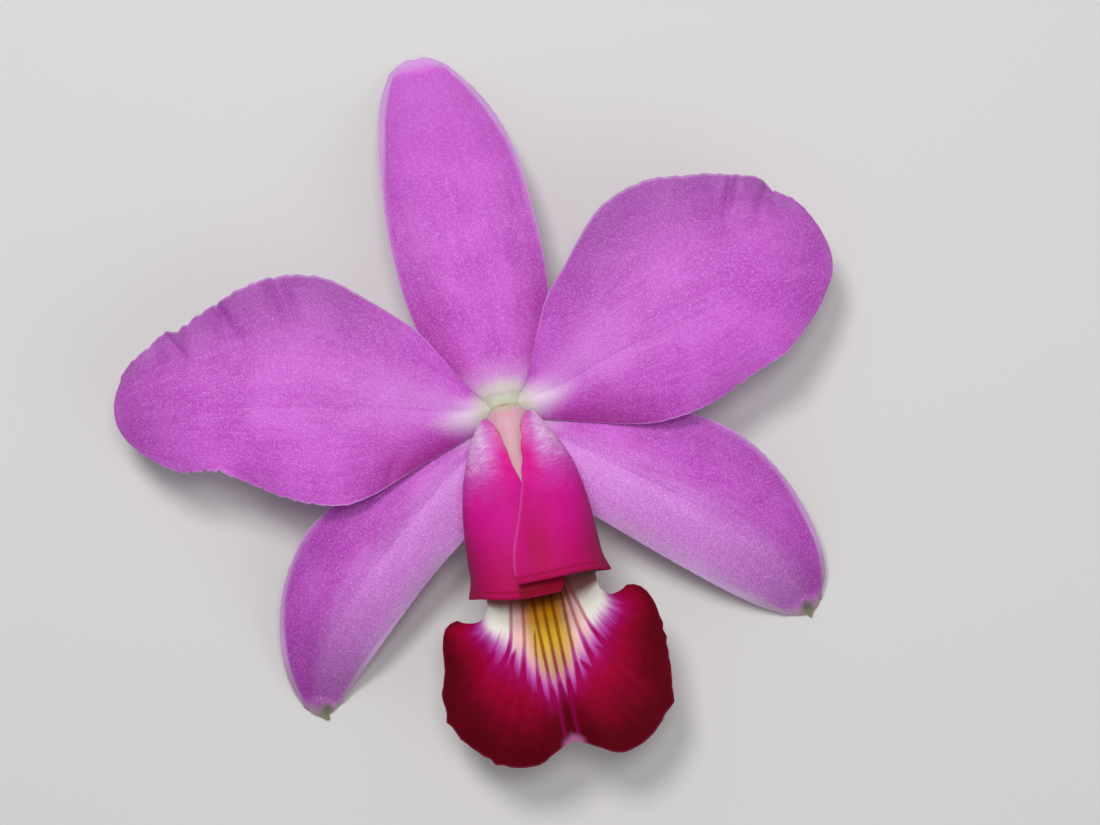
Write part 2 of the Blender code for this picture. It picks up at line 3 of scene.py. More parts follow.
import bpy
import numpy as np
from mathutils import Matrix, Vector


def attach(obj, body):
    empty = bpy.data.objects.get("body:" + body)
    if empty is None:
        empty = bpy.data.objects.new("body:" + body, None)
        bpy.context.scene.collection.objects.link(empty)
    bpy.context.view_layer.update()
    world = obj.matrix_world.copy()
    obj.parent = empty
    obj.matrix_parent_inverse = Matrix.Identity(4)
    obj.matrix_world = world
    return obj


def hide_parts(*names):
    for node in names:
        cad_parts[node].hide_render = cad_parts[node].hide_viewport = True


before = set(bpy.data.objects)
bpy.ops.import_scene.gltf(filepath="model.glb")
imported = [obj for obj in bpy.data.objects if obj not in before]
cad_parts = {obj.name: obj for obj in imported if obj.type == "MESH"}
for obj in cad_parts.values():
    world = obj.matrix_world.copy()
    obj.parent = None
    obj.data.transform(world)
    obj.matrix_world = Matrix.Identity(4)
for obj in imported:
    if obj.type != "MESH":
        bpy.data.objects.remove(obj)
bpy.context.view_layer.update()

# The bloom lies face up. Its own measures are in millimetres from the middle of the receptacle.
mm = 0.001
bloomAt = np.array([3.08, -1.46, 0.0])
axisX = -0.4  # the bloom's middle line
mapName = "bladeMap"


class Value:
    # wraps a socket, so that a mask or a tone can be written as a sum
    def __init__(self, coat, socket):
        self.coat = coat
        self.socket = socket

    def __add__(self, other):
        return self.coat.sums("ADD", self, other)

    def __radd__(self, other):
        return self.coat.sums("ADD", other, self)

    def __sub__(self, other):
        return self.coat.sums("SUBTRACT", self, other)

    def __rsub__(self, other):
        return self.coat.sums("SUBTRACT", other, self)

    def __mul__(self, other):
        return self.coat.sums("MULTIPLY", self, other)

    def __rmul__(self, other):
        return self.coat.sums("MULTIPLY", other, self)

    def __truediv__(self, other):
        return self.coat.sums("DIVIDE", self, other)

    def __rtruediv__(self, other):
        return self.coat.sums("DIVIDE", other, self)

    def __abs__(self):
        return self.coat.sums("ABSOLUTE", self)

    def most(self, other):
        return self.coat.sums("MAXIMUM", self, other)

    def wave(self):
        return self.coat.sums("SINE", self)

    def rise(self, low, high):
        # 0 below low, 1 above high, smooth between them
        return self.coat.node("ShaderNodeMapRange", {"interpolation_type": "SMOOTHSTEP"}, {
            "Value": self, "From Min": low, "From Max": high,
        })

    def fall(self, low, high):
        return 1 - self.rise(low, high)

    def bell(self, middle, halfWidth):
        # 1 at the middle, fading to 0 on both sides
        return abs(self - middle).fall(0.0, halfWidth)


class Coat:
    # one material while its nodes are being laid, with its paints and the colour so far
    def __init__(self, name, paints):
        self.material = bpy.data.materials.new(name)
        self.material.use_nodes = True
        self.tree = self.material.node_tree
        self.shader = self.tree.nodes["Principled BSDF"]
        self.paints = paints
        self.colour = None

    def node(self, kind, settings, sockets, output=0):
        made = self.tree.nodes.new(kind)
        for key, value in settings.items():
            setattr(made, key, value)
        for key, value in sockets.items():
            self.feed(made.inputs[key], value)
        return Value(self, made.outputs[output])

    def feed(self, socket, value):
        if isinstance(value, Value):
            self.tree.links.new(value.socket, socket)
        else:
            socket.default_value = value

    def sums(self, operation, *values):
        return self.node("ShaderNodeMath", {"operation": operation}, dict(enumerate(values)))

    def mix(self, factor, *tones):
        # a paint goes by its name
        first, second = [self.paints[tone] if isinstance(tone, str) else tone for tone in tones]
        return self.node("ShaderNodeMix", {"data_type": "RGBA"}, {0: factor, 6: first, 7: second}, output=2)

    def lay(self, factor, tone):
        # the next paint goes over the colour so far
        self.colour = self.mix(factor, self.colour, tone)

    def parts(self, vector):
        split = self.node("ShaderNodeSeparateXYZ", {}, {0: vector})
        return [Value(self, output) for output in split.socket.node.outputs]

    def distance(self, vector, place):
        return self.node("ShaderNodeVectorMath", {"operation": "DISTANCE"}, {0: vector, 1: place}, output="Value")

    def vector(self, x, y, z=0.0):
        return self.node("ShaderNodeCombineXYZ", {}, {0: x, 1: y, 2: z})

    def bladeMap(self):
        # across and along a blade or the lip
        return self.parts(self.node("ShaderNodeUVMap", {"uv_map": mapName}, {}))[:2]

    def objectPlace(self):
        # the point in the bloom's own millimetres
        place = self.node("ShaderNodeTexCoord", {}, {}, output="Object")
        return self.node("ShaderNodeMapping", {"vector_type": "POINT"}, {
            "Vector": place, "Location": tuple(-bloomAt), "Scale": (1 / mm, 1 / mm, 1 / mm),
        })

    def noise(self, vector, scale=1.0, detail=3.0, roughness=0.5, distortion=0.0):
        return self.node("ShaderNodeTexNoise", {}, {
            "Vector": vector, "Scale": scale, "Detail": detail, "Roughness": roughness, "Distortion": distortion,
        })

    def cells(self, vector, scale):
        # how near a cell's middle is, and the cell's own chance
        near = self.node("ShaderNodeTexVoronoi", {}, {"Vector": vector, "Scale": scale})
        return near, self.parts(Value(self, near.socket.node.outputs["Color"]))[0]

    def bump(self, height, strength, distance):
        normal = self.node("ShaderNodeBump", {}, {"Height": height, "Strength": strength, "Distance": distance})
        self.feed(self.shader.inputs["Normal"], normal)

    def done(self, roughness, soft=(), shine=0.5):
        # soft is how much, how far in metres and in what colour light goes into the tissue
        inputs = self.shader.inputs
        self.feed(inputs["Base Color"], self.colour)
        self.feed(inputs["Roughness"], roughness)
        for name, value in zip(("Weight", "Scale", "Radius"), soft):
            inputs["Subsurface " + name].default_value = value
        inputs["Specular IOR Level"].default_value = shine
        return self.material


def paint(red, green, blue):
    # a screen colour, 0 to 255, as Blender's linear colour
    linear = []
    for channel in (red, green, blue):
        share = channel / 255
        linear.append(share / 12.92 if share <= 0.04045 else ((share + 0.055) / 1.055) ** 2.4)
    return (*linear, 1.0)


def within(value):
    return np.clip(value, 0.0, 1.0)


def rise(value, low, high):
    share = within((value - low) / (high - low))
    return share * share * (3 - 2 * share)


def hump(value, middle, width):
    return np.exp(-(((value - middle) / width) ** 2))


def lengths(vectors):
    return np.linalg.norm(vectors, axis=1)


def smoothLine(points, shares, measured=2, steps=24):
    # points at shares of the length of a smooth line through the control points
    points = np.array(points, dtype=float)
    walked = np.cumsum(np.maximum(lengths(np.diff(points[:, :measured], axis=0)), 1e-6))
    knots = np.concatenate([[0.0], walked])
    slopes = np.empty_like(points)
    slopes[1:-1] = (points[2:] - points[:-2]) / (knots[2:] - knots[:-2])[:, None]
    slopes[0] = (points[1] - points[0]) / (knots[1] - knots[0])
    slopes[-1] = (points[-1] - points[-2]) / (knots[-1] - knots[-2])
    dense = []
    for first in range(len(points) - 1):
        span = knots[first + 1] - knots[first]
        t = np.linspace(0.0, 1.0, steps, endpoint=first == len(points) - 2)[:, None]
        dense.append(
            (2 * t**3 - 3 * t**2 + 1) * points[first] + (t**3 - 2 * t**2 + t) * span * slopes[first]
            + (3 * t**2 - 2 * t**3) * points[first + 1] + (t**3 - t**2) * span * slopes[first + 1]
        )
    dense = np.concatenate(dense)
    walked = np.concatenate([[0.0], np.cumsum(lengths(np.diff(dense[:, :measured], axis=0)))])
    wanted = np.asarray(shares) * walked[-1]
    return np.stack([np.interp(wanted, walked, column) for column in dense.T], axis=-1)


def pickNothing():
    bpy.ops.object.select_all(action="DESELECT")


def pick(piece):
    pickNothing()
    piece.select_set(True)
    bpy.context.view_layer.objects.active = piece


def places(piece):
    flat = np.zeros(len(piece.data.vertices) * 3)
    piece.data.vertices.foreach_get("co", flat)
    return flat.reshape(-1, 3)


def moveTo(piece, points):
    # bloom millimetres become the mesh's metres
    piece.data.vertices.foreach_set("co", ((points + bloomAt) * mm).ravel())
    piece.data.update()


def mapUv(piece, u, v):
    # the map follows the blade: u across, v along
    corners = np.zeros(len(piece.data.loops), dtype=np.int32)
    piece.data.loops.foreach_get("vertex_index", corners)
    layer = piece.data.uv_layers[0]
    layer.name = mapName
    layer.data.foreach_set("uv", np.stack([u[corners], v[corners]], axis=1).ravel())


def setThickness(piece, share):
    kept = piece.data.attributes.new("thickShare", "FLOAT", "POINT")
    kept.data.foreach_set("value", np.asarray(share, dtype=np.float32))


def gridPiece(name, columns, rows):
    # a sheet, and the places of its points from -1 to 1 in both directions
    pickNothing()
    bpy.ops.mesh.primitive_grid_add(x_subdivisions=columns, y_subdivisions=rows, size=2)
    piece = bpy.context.object
    piece.name = name
    grid = places(piece)
    return piece, grid[:, 0], grid[:, 1]


def editAll(piece, operator, **settings):
    # one edit on the whole mesh
    pick(piece)
    bpy.ops.object.mode_set(mode="EDIT")
    bpy.ops.mesh.select_all(action="SELECT")
    operator(**settings)
    bpy.ops.object.mode_set(mode="OBJECT")


def thicken(piece, thickness, steps=40):
    # the sheet gets its two faces and its rim, thin at the free margins
    share = np.zeros(len(piece.data.vertices), dtype=np.float32)
    piece.data.attributes["thickShare"].data.foreach_get("value", share)
    group = piece.vertex_groups.new(name="thickness")
    levels = np.round(share * steps).astype(int)
    for level in np.unique(levels):
        group.add(np.nonzero(levels == level)[0].tolist(), level / steps, "REPLACE")
    pick(piece)
    solid = piece.modifiers.new("Thickness", "SOLIDIFY")
    solid.thickness = thickness * mm
    solid.offset = 0.0
    solid.vertex_group = group.name
    solid.material_offset = 1
    bpy.ops.object.modifier_apply(modifier=solid.name)
    piece.vertex_groups.clear()


def smoothShade(piece, angle):
    pick(piece)
    bpy.ops.object.shade_smooth_by_angle(angle=radians(angle))


def belongs(piece, node):
    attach(piece, "root")
    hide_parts(node)


# Rails are (x, y, height): the margins on the left and right as one looks from base to tip, and the
# midrib between them. Ripples and creases are (side, share of the length, half length, height), and
# nicks are (side, share, half length, depth) of the small cuts in a margin.
# In a look, span is the width and length of the streaks' pattern, claw the white base's reach, width,
# middle and strength, dusk where the painted shade of the dusky end starts and how strong it and the
# painted shade of the dusky side are, and the other numbers are strengths from 0 to 1, but for the
# paler half's side. A sheet holds what blades share: their points across and along, their thickness, and
# whether the tip rests on the floor.
sepalSheet = {
    "columns": 70, "rows": 150, "thickness": 0.95, "rests": True, "creases": [], "nicks": [], "ragged": 0.03,
}
petalSheet = {
    "columns": 110, "rows": 170, "thickness": 0.85, "rests": False, "tipDip": 0.0, "hook": (0.0, 0.0, 0.0),
}

sepalDorsal = {
    "name": "sepalDorsal", "node": "sepal_dorsal",
    "left": [
        (-5.2, 1.6, 13.8), (-8.8, 6.8, 14.1), (-11.3, 12.8, 14.6), (-12.8, 19.6, 15.2), (-13.4, 26.2, 15.4),
        (-13.5, 33.0, 14.7), (-13.0, 40.4, 12.6), (-12.1, 48.4, 8.6), (-10.6, 55.4, 4.0), (-8.2, 60.3, 1.2),
    ],
    "midrib": [
        (-0.4, 3.0, 16.2), (-0.4, 6.4, 15.7), (-0.5, 12.0, 15.9), (-0.8, 22.0, 16.6), (-1.2, 32.0, 15.9),
        (-1.6, 42.0, 13.1), (-2.1, 50.4, 7.9), (-2.6, 56.0, 3.2), (-2.9, 59.4, 0.35), (-3.0, 62.4, -0.8),
    ],
    "right": [
        (4.4, 1.6, 13.8), (7.4, 6.8, 14.1), (9.8, 12.8, 14.6), (11.0, 19.6, 15.2), (11.3, 26.2, 15.4),
        (11.1, 33.0, 14.7), (10.5, 40.8, 12.6), (8.7, 48.2, 8.6), (5.6, 54.9, 4.0), (2.0, 59.8, 1.2),
    ],
    "ripples": [(-1, 0.45, 0.10, 0.5), (1, 0.62, 0.09, 0.5), (1, 0.30, 0.08, -0.4)],
    **sepalSheet, "phase": 0.4, "tipDip": 0.4, "hook": (0.0, 0.0, 0.0),
    "look": {
        "span": (25.0, 60.0), "claw": (0.11, 2.0, 0.0, 0.30), "beam": 0.0, "paleSide": 0.0, "lighter": 0.0,
        "deepBase": 0.5, "paleEdge": 0.75, "tip": 0.55, "dusk": (0.0, 0.0, 0.30),
    },
}

sepalLeft = {
    "name": "sepalLeft", "node": "sepal_left",
    "left": [
        (-1.7, -4.2, 13.4), (-3.4, -8.2, 13.8), (-5.5, -12.6, 14.3), (-8.3, -16.9, 14.7), (-11.9, -20.2, 14.6),
        (-15.6, -22.9, 14.1), (-20.2, -26.6, 12.7), (-25.4, -31.2, 10.3), (-30.6, -36.0, 7.0),
        (-34.9, -40.0, 3.6), (-38.2, -43.2, 1.2),
    ],
    "midrib": [
        (-3.0, -3.1, 13.4), (-7.0, -6.0, 14.8), (-11.8, -9.2, 16.0), (-17.0, -13.0, 16.5), (-22.5, -17.2, 16.0),
        (-28.2, -21.8, 14.2), (-33.4, -26.8, 11.4), (-37.6, -32.0, 7.9), (-40.4, -37.2, 3.9),
        (-41.7, -41.8, 0.35), (-42.2, -45.2, -0.8),
    ],
    "right": [
        (-4.6, -1.4, 13.4), (-8.8, -1.8, 13.8), (-14.1, -2.4, 14.4), (-20.1, -4.0, 14.9), (-26.1, -6.6, 15.0),
        (-31.7, -9.7, 14.4), (-36.8, -13.0, 13.1), (-40.7, -17.4, 11.2), (-43.7, -22.5, 9.1),
        (-45.6, -28.0, 6.8), (-46.5, -33.6, 4.6), (-46.3, -38.6, 2.6), (-45.0, -42.8, 1.2),
    ],
    "ripples": [(1, 0.62, 0.10, 0.5), (-1, 0.55, 0.10, -0.4), (-1, 0.80, 0.07, 0.4)],
    **sepalSheet, "phase": 1.7, "tipDip": 0.0, "hook": (0.7, -0.9, 0.5),
    "look": {
        "span": (24.0, 58.0), "claw": (0.15, 1.5, -0.65, 0.6), "beam": 0.4, "paleSide": -1.0,
        "lighter": 0.60, "deepBase": 0.0, "paleEdge": 0.80, "tip": 0.0, "dusk": (0.50, 0.62, 0.40),
        "greenTip": (-41.8, -45.4, 0.8), "darkRoot": (-41.2, -44.2, 1.2),
    },
}

sepalRight = {
    "name": "sepalRight", "node": "sepal_right",
    "left": [
        (3.8, -1.4, 13.4), (8.6, -1.8, 13.8), (14.0, -2.4, 14.2), (20.1, -3.7, 14.6), (26.1, -5.6, 14.6),
        (31.1, -7.9, 14.1), (35.7, -11.0, 12.9), (39.8, -15.3, 11.2), (43.5, -21.4, 9.1),
        (45.9, -27.4, 6.8), (47.3, -33.2, 4.5), (47.4, -38.4, 2.6), (46.0, -42.6, 1.2),
    ],
    "midrib": [
        (2.2, -3.1, 13.4), (6.4, -6.0, 14.8), (11.5, -9.6, 15.9), (17.0, -13.8, 16.3), (23.0, -18.5, 15.4),
        (29.1, -23.6, 13.5), (34.3, -28.4, 10.7), (38.5, -33.3, 7.3), (41.6, -38.2, 3.6),
        (43.0, -42.2, 0.35), (43.6, -45.2, -0.8),
    ],
    "right": [
        (0.9, -4.2, 13.4), (2.8, -8.6, 13.8), (4.9, -13.2, 14.3), (7.4, -17.4, 14.6), (10.8, -20.8, 14.5),
        (14.8, -24.5, 13.9), (20.1, -29.4, 12.0), (25.2, -34.0, 9.4), (30.4, -38.5, 6.1),
        (35.2, -42.2, 3.2), (39.2, -44.6, 1.2),
    ],
    "ripples": [(-1, 0.60, 0.10, 0.5), (1, 0.45, 0.09, -0.4), (1, 0.72, 0.08, 0.4)],
    **sepalSheet, "phase": 2.9, "tipDip": 0.0, "hook": (-0.1, -0.8, 0.5),
    "look": {
        "span": (24.0, 60.0), "claw": (0.15, 1.5, -0.65, 0.6), "beam": 0.4, "paleSide": 1.0,
        "lighter": 0.60, "deepBase": 0.0, "paleEdge": 0.80, "tip": 0.0, "dusk": (0.58, 0.55, 0.35),
        "greenTip": (43.6, -45.2, 0.8), "darkRoot": (43.2, -44.0, 1.2),
    },
}

petalLeft = {
    "name": "petalLeft", "node": "petal_left",
    "left": [
        (-4.8, -2.4, 15.2), (-9.0, -4.0, 16.0), (-14.0, -5.7, 17.1), (-19.0, -7.5, 18.3), (-24.0, -9.3, 19.3),
        (-29.2, -10.2, 20.1), (-34.2, -9.0, 20.5), (-39.6, -6.5, 20.5), (-44.6, -3.1, 20.1), (-49.6, -0.2, 19.7),
        (-54.7, 0.6, 18.9), (-58.3, 2.7, 17.7), (-61.6, 5.6, 16.3),
    ],
    "midrib": [
        (-3.5, 0.3, 16.2), (-10.0, 1.6, 18.0), (-17.0, 3.7, 20.3), (-25.0, 5.6, 21.8), (-33.0, 7.3, 22.4),
        (-41.0, 8.8, 22.0), (-49.0, 9.8, 20.6), (-56.0, 10.4, 18.6), (-61.0, 10.7, 16.4), (-64.4, 10.9, 14.6),
    ],
    "right": [
        (-4.2, 2.6, 15.2), (-6.6, 6.2, 15.9), (-9.0, 10.5, 16.7), (-12.2, 15.8, 17.7), (-16.4, 20.1, 18.6),
        (-20.4, 23.7, 19.1), (-24.3, 26.9, 19.3), (-28.8, 28.7, 19.3), (-33.8, 29.3, 19.3), (-38.7, 28.6, 19.3),
        (-43.7, 27.0, 19.2), (-48.6, 25.1, 18.9), (-50.6, 23.9, 18.6), (-53.0, 24.1, 18.4), (-57.2, 21.8, 17.7),
        (-60.8, 19.6, 16.7), (-63.2, 16.4, 15.6),
    ],
    "ripples": [
        (1, 0.52, 0.035, -0.8), (1, 0.60, 0.040, 0.6), (1, 0.70, 0.030, -1.1), (1, 0.77, 0.030, 0.9),
        (1, 0.85, 0.025, -0.9), (1, 0.92, 0.030, 0.6), (-1, 0.20, 0.120, -0.6), (-1, 0.45, 0.060, 0.6),
        (-1, 0.62, 0.050, -0.7), (-1, 0.76, 0.040, 0.8), (-1, 0.87, 0.035, -0.7),
    ],
    "creases": [
        (1, 0.555, 0.020, -0.9), (1, 0.695, 0.012, -1.1), (1, 0.83, 0.010, -0.7), (-1, 0.30, 0.022, -0.5),
        (-1, 0.37, 0.014, 0.25),
    ],
    "nicks": [
        (1, 0.765, 0.006, 0.5), (-1, 0.765, 0.004, 0.55), (-1, 0.805, 0.004, 0.6), (-1, 0.845, 0.004, 0.6),
        (-1, 0.88, 0.004, 0.35), (-1, 0.91, 0.004, 0.3),
    ],
    **petalSheet, "phase": 0.9, "ragged": 0.10,
    "look": {
        "span": (40.0, 62.0), "claw": (0.175, 1.15, -0.27, 0.9), "beam": 0.6, "paleSide": 1.0,
        "lighter": 0.06, "deepBase": 0.8, "paleEdge": 0.08, "tip": 0.0, "dusk": (0.74, 0.42, 0.60),
    },
}

petalRight = {
    "name": "petalRight", "node": "petal_right",
    "left": [
        (3.6, 2.6, 15.2), (5.6, 6.8, 15.9), (7.8, 11.8, 16.9), (10.4, 16.8, 17.7), (14.0, 20.8, 18.4),
        (18.0, 25.6, 18.9), (21.9, 29.3, 19.0), (26.4, 31.4, 18.8), (31.4, 32.3, 18.5), (36.4, 31.7, 18.2),
        (40.9, 31.2, 17.9), (45.0, 30.1, 17.6), (49.1, 28.7, 17.1), (51.2, 26.2, 16.8), (54.0, 24.2, 16.3),
        (56.4, 20.8, 15.6),
    ],
    "midrib": [
        (2.8, 0.6, 16.2), (9.0, 1.8, 18.2), (15.0, 3.8, 20.5), (22.0, 5.9, 22.0), (30.0, 7.9, 22.5),
        (38.0, 9.7, 21.9), (46.0, 11.5, 20.1), (52.0, 12.8, 17.9), (56.0, 13.6, 15.9), (58.3, 13.9, 14.6),
    ],
    "right": [
        (4.0, -2.4, 15.2), (8.6, -3.8, 15.9), (14.0, -5.3, 16.7), (19.0, -6.7, 17.3), (24.0, -7.5, 17.9),
        (30.0, -7.0, 18.5), (36.0, -5.3, 18.8), (41.8, -2.7, 18.6), (47.3, -0.6, 18.0), (51.0, 2.3, 17.2),
        (54.3, 5.4, 16.2), (56.7, 8.9, 15.2),
    ],
    "ripples": [
        (-1, 0.56, 0.035, -0.6), (-1, 0.65, 0.035, 0.8), (-1, 0.73, 0.025, -0.7), (-1, 0.80, 0.025, 1.0),
        (-1, 0.87, 0.022, -0.9), (-1, 0.95, 0.030, 0.5), (1, 0.20, 0.120, -0.5), (1, 0.40, 0.060, 0.7),
        (1, 0.58, 0.050, -0.6), (1, 0.74, 0.045, 0.7), (1, 0.88, 0.040, -0.6),
    ],
    "creases": [(-1, 0.785, 0.010, -1.1), (-1, 0.87, 0.010, -1.0), (-1, 0.66, 0.016, -0.35)],
    "nicks": [(-1, 0.885, 0.005, 0.5), (1, 0.60, 0.003, 0.25), (1, 0.80, 0.005, 0.3)],
    **petalSheet, "phase": 2.2, "ragged": 0.07,
    "look": {
        "span": (40.0, 60.0), "claw": (0.18, 1.15, -0.12, 0.9), "beam": 0.6, "paleSide": -1.0,
        "lighter": 0.06, "deepBase": 0.7, "paleEdge": 0.08, "tip": 0.0, "dusk": (0.74, 0.42, 0.60),
    },
}

tepalPaints = {
    "lilac": paint(196, 74, 197), "deep": paint(170, 46, 170), "light": paint(216, 110, 221),
    "palest": paint(222, 150, 232), "margin": paint(204, 166, 212), "white": paint(230, 216, 228),
    "magenta": paint(168, 34, 140), "dusk": paint(116, 44, 124), "green": paint(66, 72, 28),
    "nub": paint(116, 122, 88), "brown": paint(92, 62, 66), "tipGrey": paint(160, 142, 150),
    "spark": paint(224, 140, 230), "glint": paint(248, 206, 250), "frost": paint(206, 186, 212),
    "greenish": paint(206, 204, 190), "backLilac": paint(200, 116, 200), "backRib": paint(196, 196, 140),
}
tepalTissue = {"soft": (0.12, 0.0008, (1.0, 0.5, 0.9)), "shine": 0.35}


def bladePlaces(plan, across, along):
    # the CAD blade's form, with the finer folds of its margins
    share = 1 - (1 - within(along)) ** 1.2
    left, midrib, right = [smoothLine(plan[rail], share) for rail in ("left", "midrib", "right")]
    side = across[:, None]
    points = left * side * (side - 1) / 2 + midrib * (1 - side**2) + right * side * (side + 1) / 2
    for which, place, halfLength, height in plan["ripples"]:
        points[:, 2] += height * hump(share, place, halfLength) * within(which * across) ** 4
    for which, place, halfLength, height in plan["creases"]:
        # a crease runs in from the margin and leans towards the base
        reach = within(which * across)
        swell = hump(share - place + 0.15 * (1 - reach), 0.0, halfLength)
        points[:, 2] += height * swell * rise(reach, 0.45, 0.95)
    outward = right - left
    outward /= lengths(outward)[:, None]
    margin = rise(np.abs(across), 0.90, 1.0) * np.sign(across)
    for which, place, halfLength, depth in plan["nicks"]:
        cut = hump(share, place, halfLength) * (np.sign(across) == which)
        points -= outward * (margin * cut * depth)[:, None]
    phase = plan["phase"]
    turn = phase + np.sign(across)
    frayed = np.sin(share * 173 + turn * 2.1) + 0.7 * np.sin(share * 311 + turn * 4.7)
    frayed += 0.5 * np.sin(share * 97 + turn)
    points += outward * (margin * frayed * plan["ragged"] * rise(share, 0.25, 0.6))[:, None]
    channel = hump(across, 0.0, 0.13) * rise(share, 0.0, 0.1) * (1 - rise(share, 0.4, 0.95))
    points[:, 2] -= 0.5 * channel
    points[:, 1] -= plan["tipDip"] * hump(across, -0.05, 0.16) * rise(share, 0.94, 1.0)
    spike = hump(across, 0.0, 0.12) * rise(share, 0.965, 1.0) ** 2
    points += np.array(plan["hook"]) * spike[:, None]
    sway = np.sin(share * 9 + across * 2.3 + phase) + 0.6 * np.sin(share * 17 - across * 3.9 + 2 * phase)
    points[:, 2] += 0.16 * sway * rise(share, 0.05, 0.3) * (1 - rise(share, 0.85, 1.0))
    return points, share


def bladePiece(plan):
    name = plan["name"]
    piece, across, along = gridPiece(name, plan["columns"], plan["rows"])
    # the first rows run back into the receptacle
    rooted = 0.03
    along = -rooted + (1 + rooted) * (along + 1) / 2
    points, share = bladePlaces(plan, across, along)
    heart = np.array([axisX, 0.3, 0.0]) + np.array([0.0, 0.0, 1.0]) * (points[:, 2:3] - 0.6)
    points += within(-along / rooted)[:, None] * 0.45 * (heart - points)
    thickShare = 0.30 + 0.55 * (1 - np.abs(across) ** 3) + 0.15 * hump(across, 0.0, 0.12)
    thickShare *= 1 - 0.3 * rise(share, 0.8, 1.0)
    if plan["rests"]:
        points[:, 2] = np.maximum(points[:, 2], plan["thickness"] * thickShare / 2 + 0.01)
    moveTo(piece, points)
    mapUv(piece, (across + 1) / 2, share)
    setThickness(piece, thickShare)
    piece.data.materials.append(tepalFace(name + "Face", plan["look"]))
    piece.data.materials.append(tepalBack(name + "Back", plan["look"]))
    thicken(piece, plan["thickness"])
    if plan["rests"]:
        settled = places(piece)
        settled[:, 2] = np.maximum(settled[:, 2], 0.0)
        piece.data.vertices.foreach_set("co", settled.ravel())
    smoothShade(piece, 55)
    belongs(piece, plan["node"])


def tepalGround(name, look):
    # both sides: crystalline cells, bright points for painted sparkle, lengthwise streaks, clouds of tone and faint
    # veins
    coat = Coat(name, tepalPaints)
    u, v = coat.bladeMap()
    point = coat.objectPlace()
    across = u * 2 - 1
    wide, long = look["span"]
    near, chance = coat.cells(point, 3.9)
    crystal = chance.rise(0.15, 1.0) * near.fall(0.2, 0.8)
    near, chance = coat.cells(point, 2.3)
    glint = chance.rise(0.72, 0.98) * near.fall(0.08, 0.34)
    streak = coat.noise(coat.vector(u * wide * 0.8, v * long * 0.12), detail=4.0, roughness=0.6)
    grain = coat.noise(point, 3.4, detail=2.0, roughness=0.8)
    cloud = coat.noise(point, 0.11, detail=2.0)
    wander = coat.noise(coat.vector(u * 6.0, v * 5.0), detail=2.0) * 2.5
    veins = (across * (wide * 1.15) + wander).wave()
    return coat, point, across, v, crystal, glint, streak, grain, cloud, veins


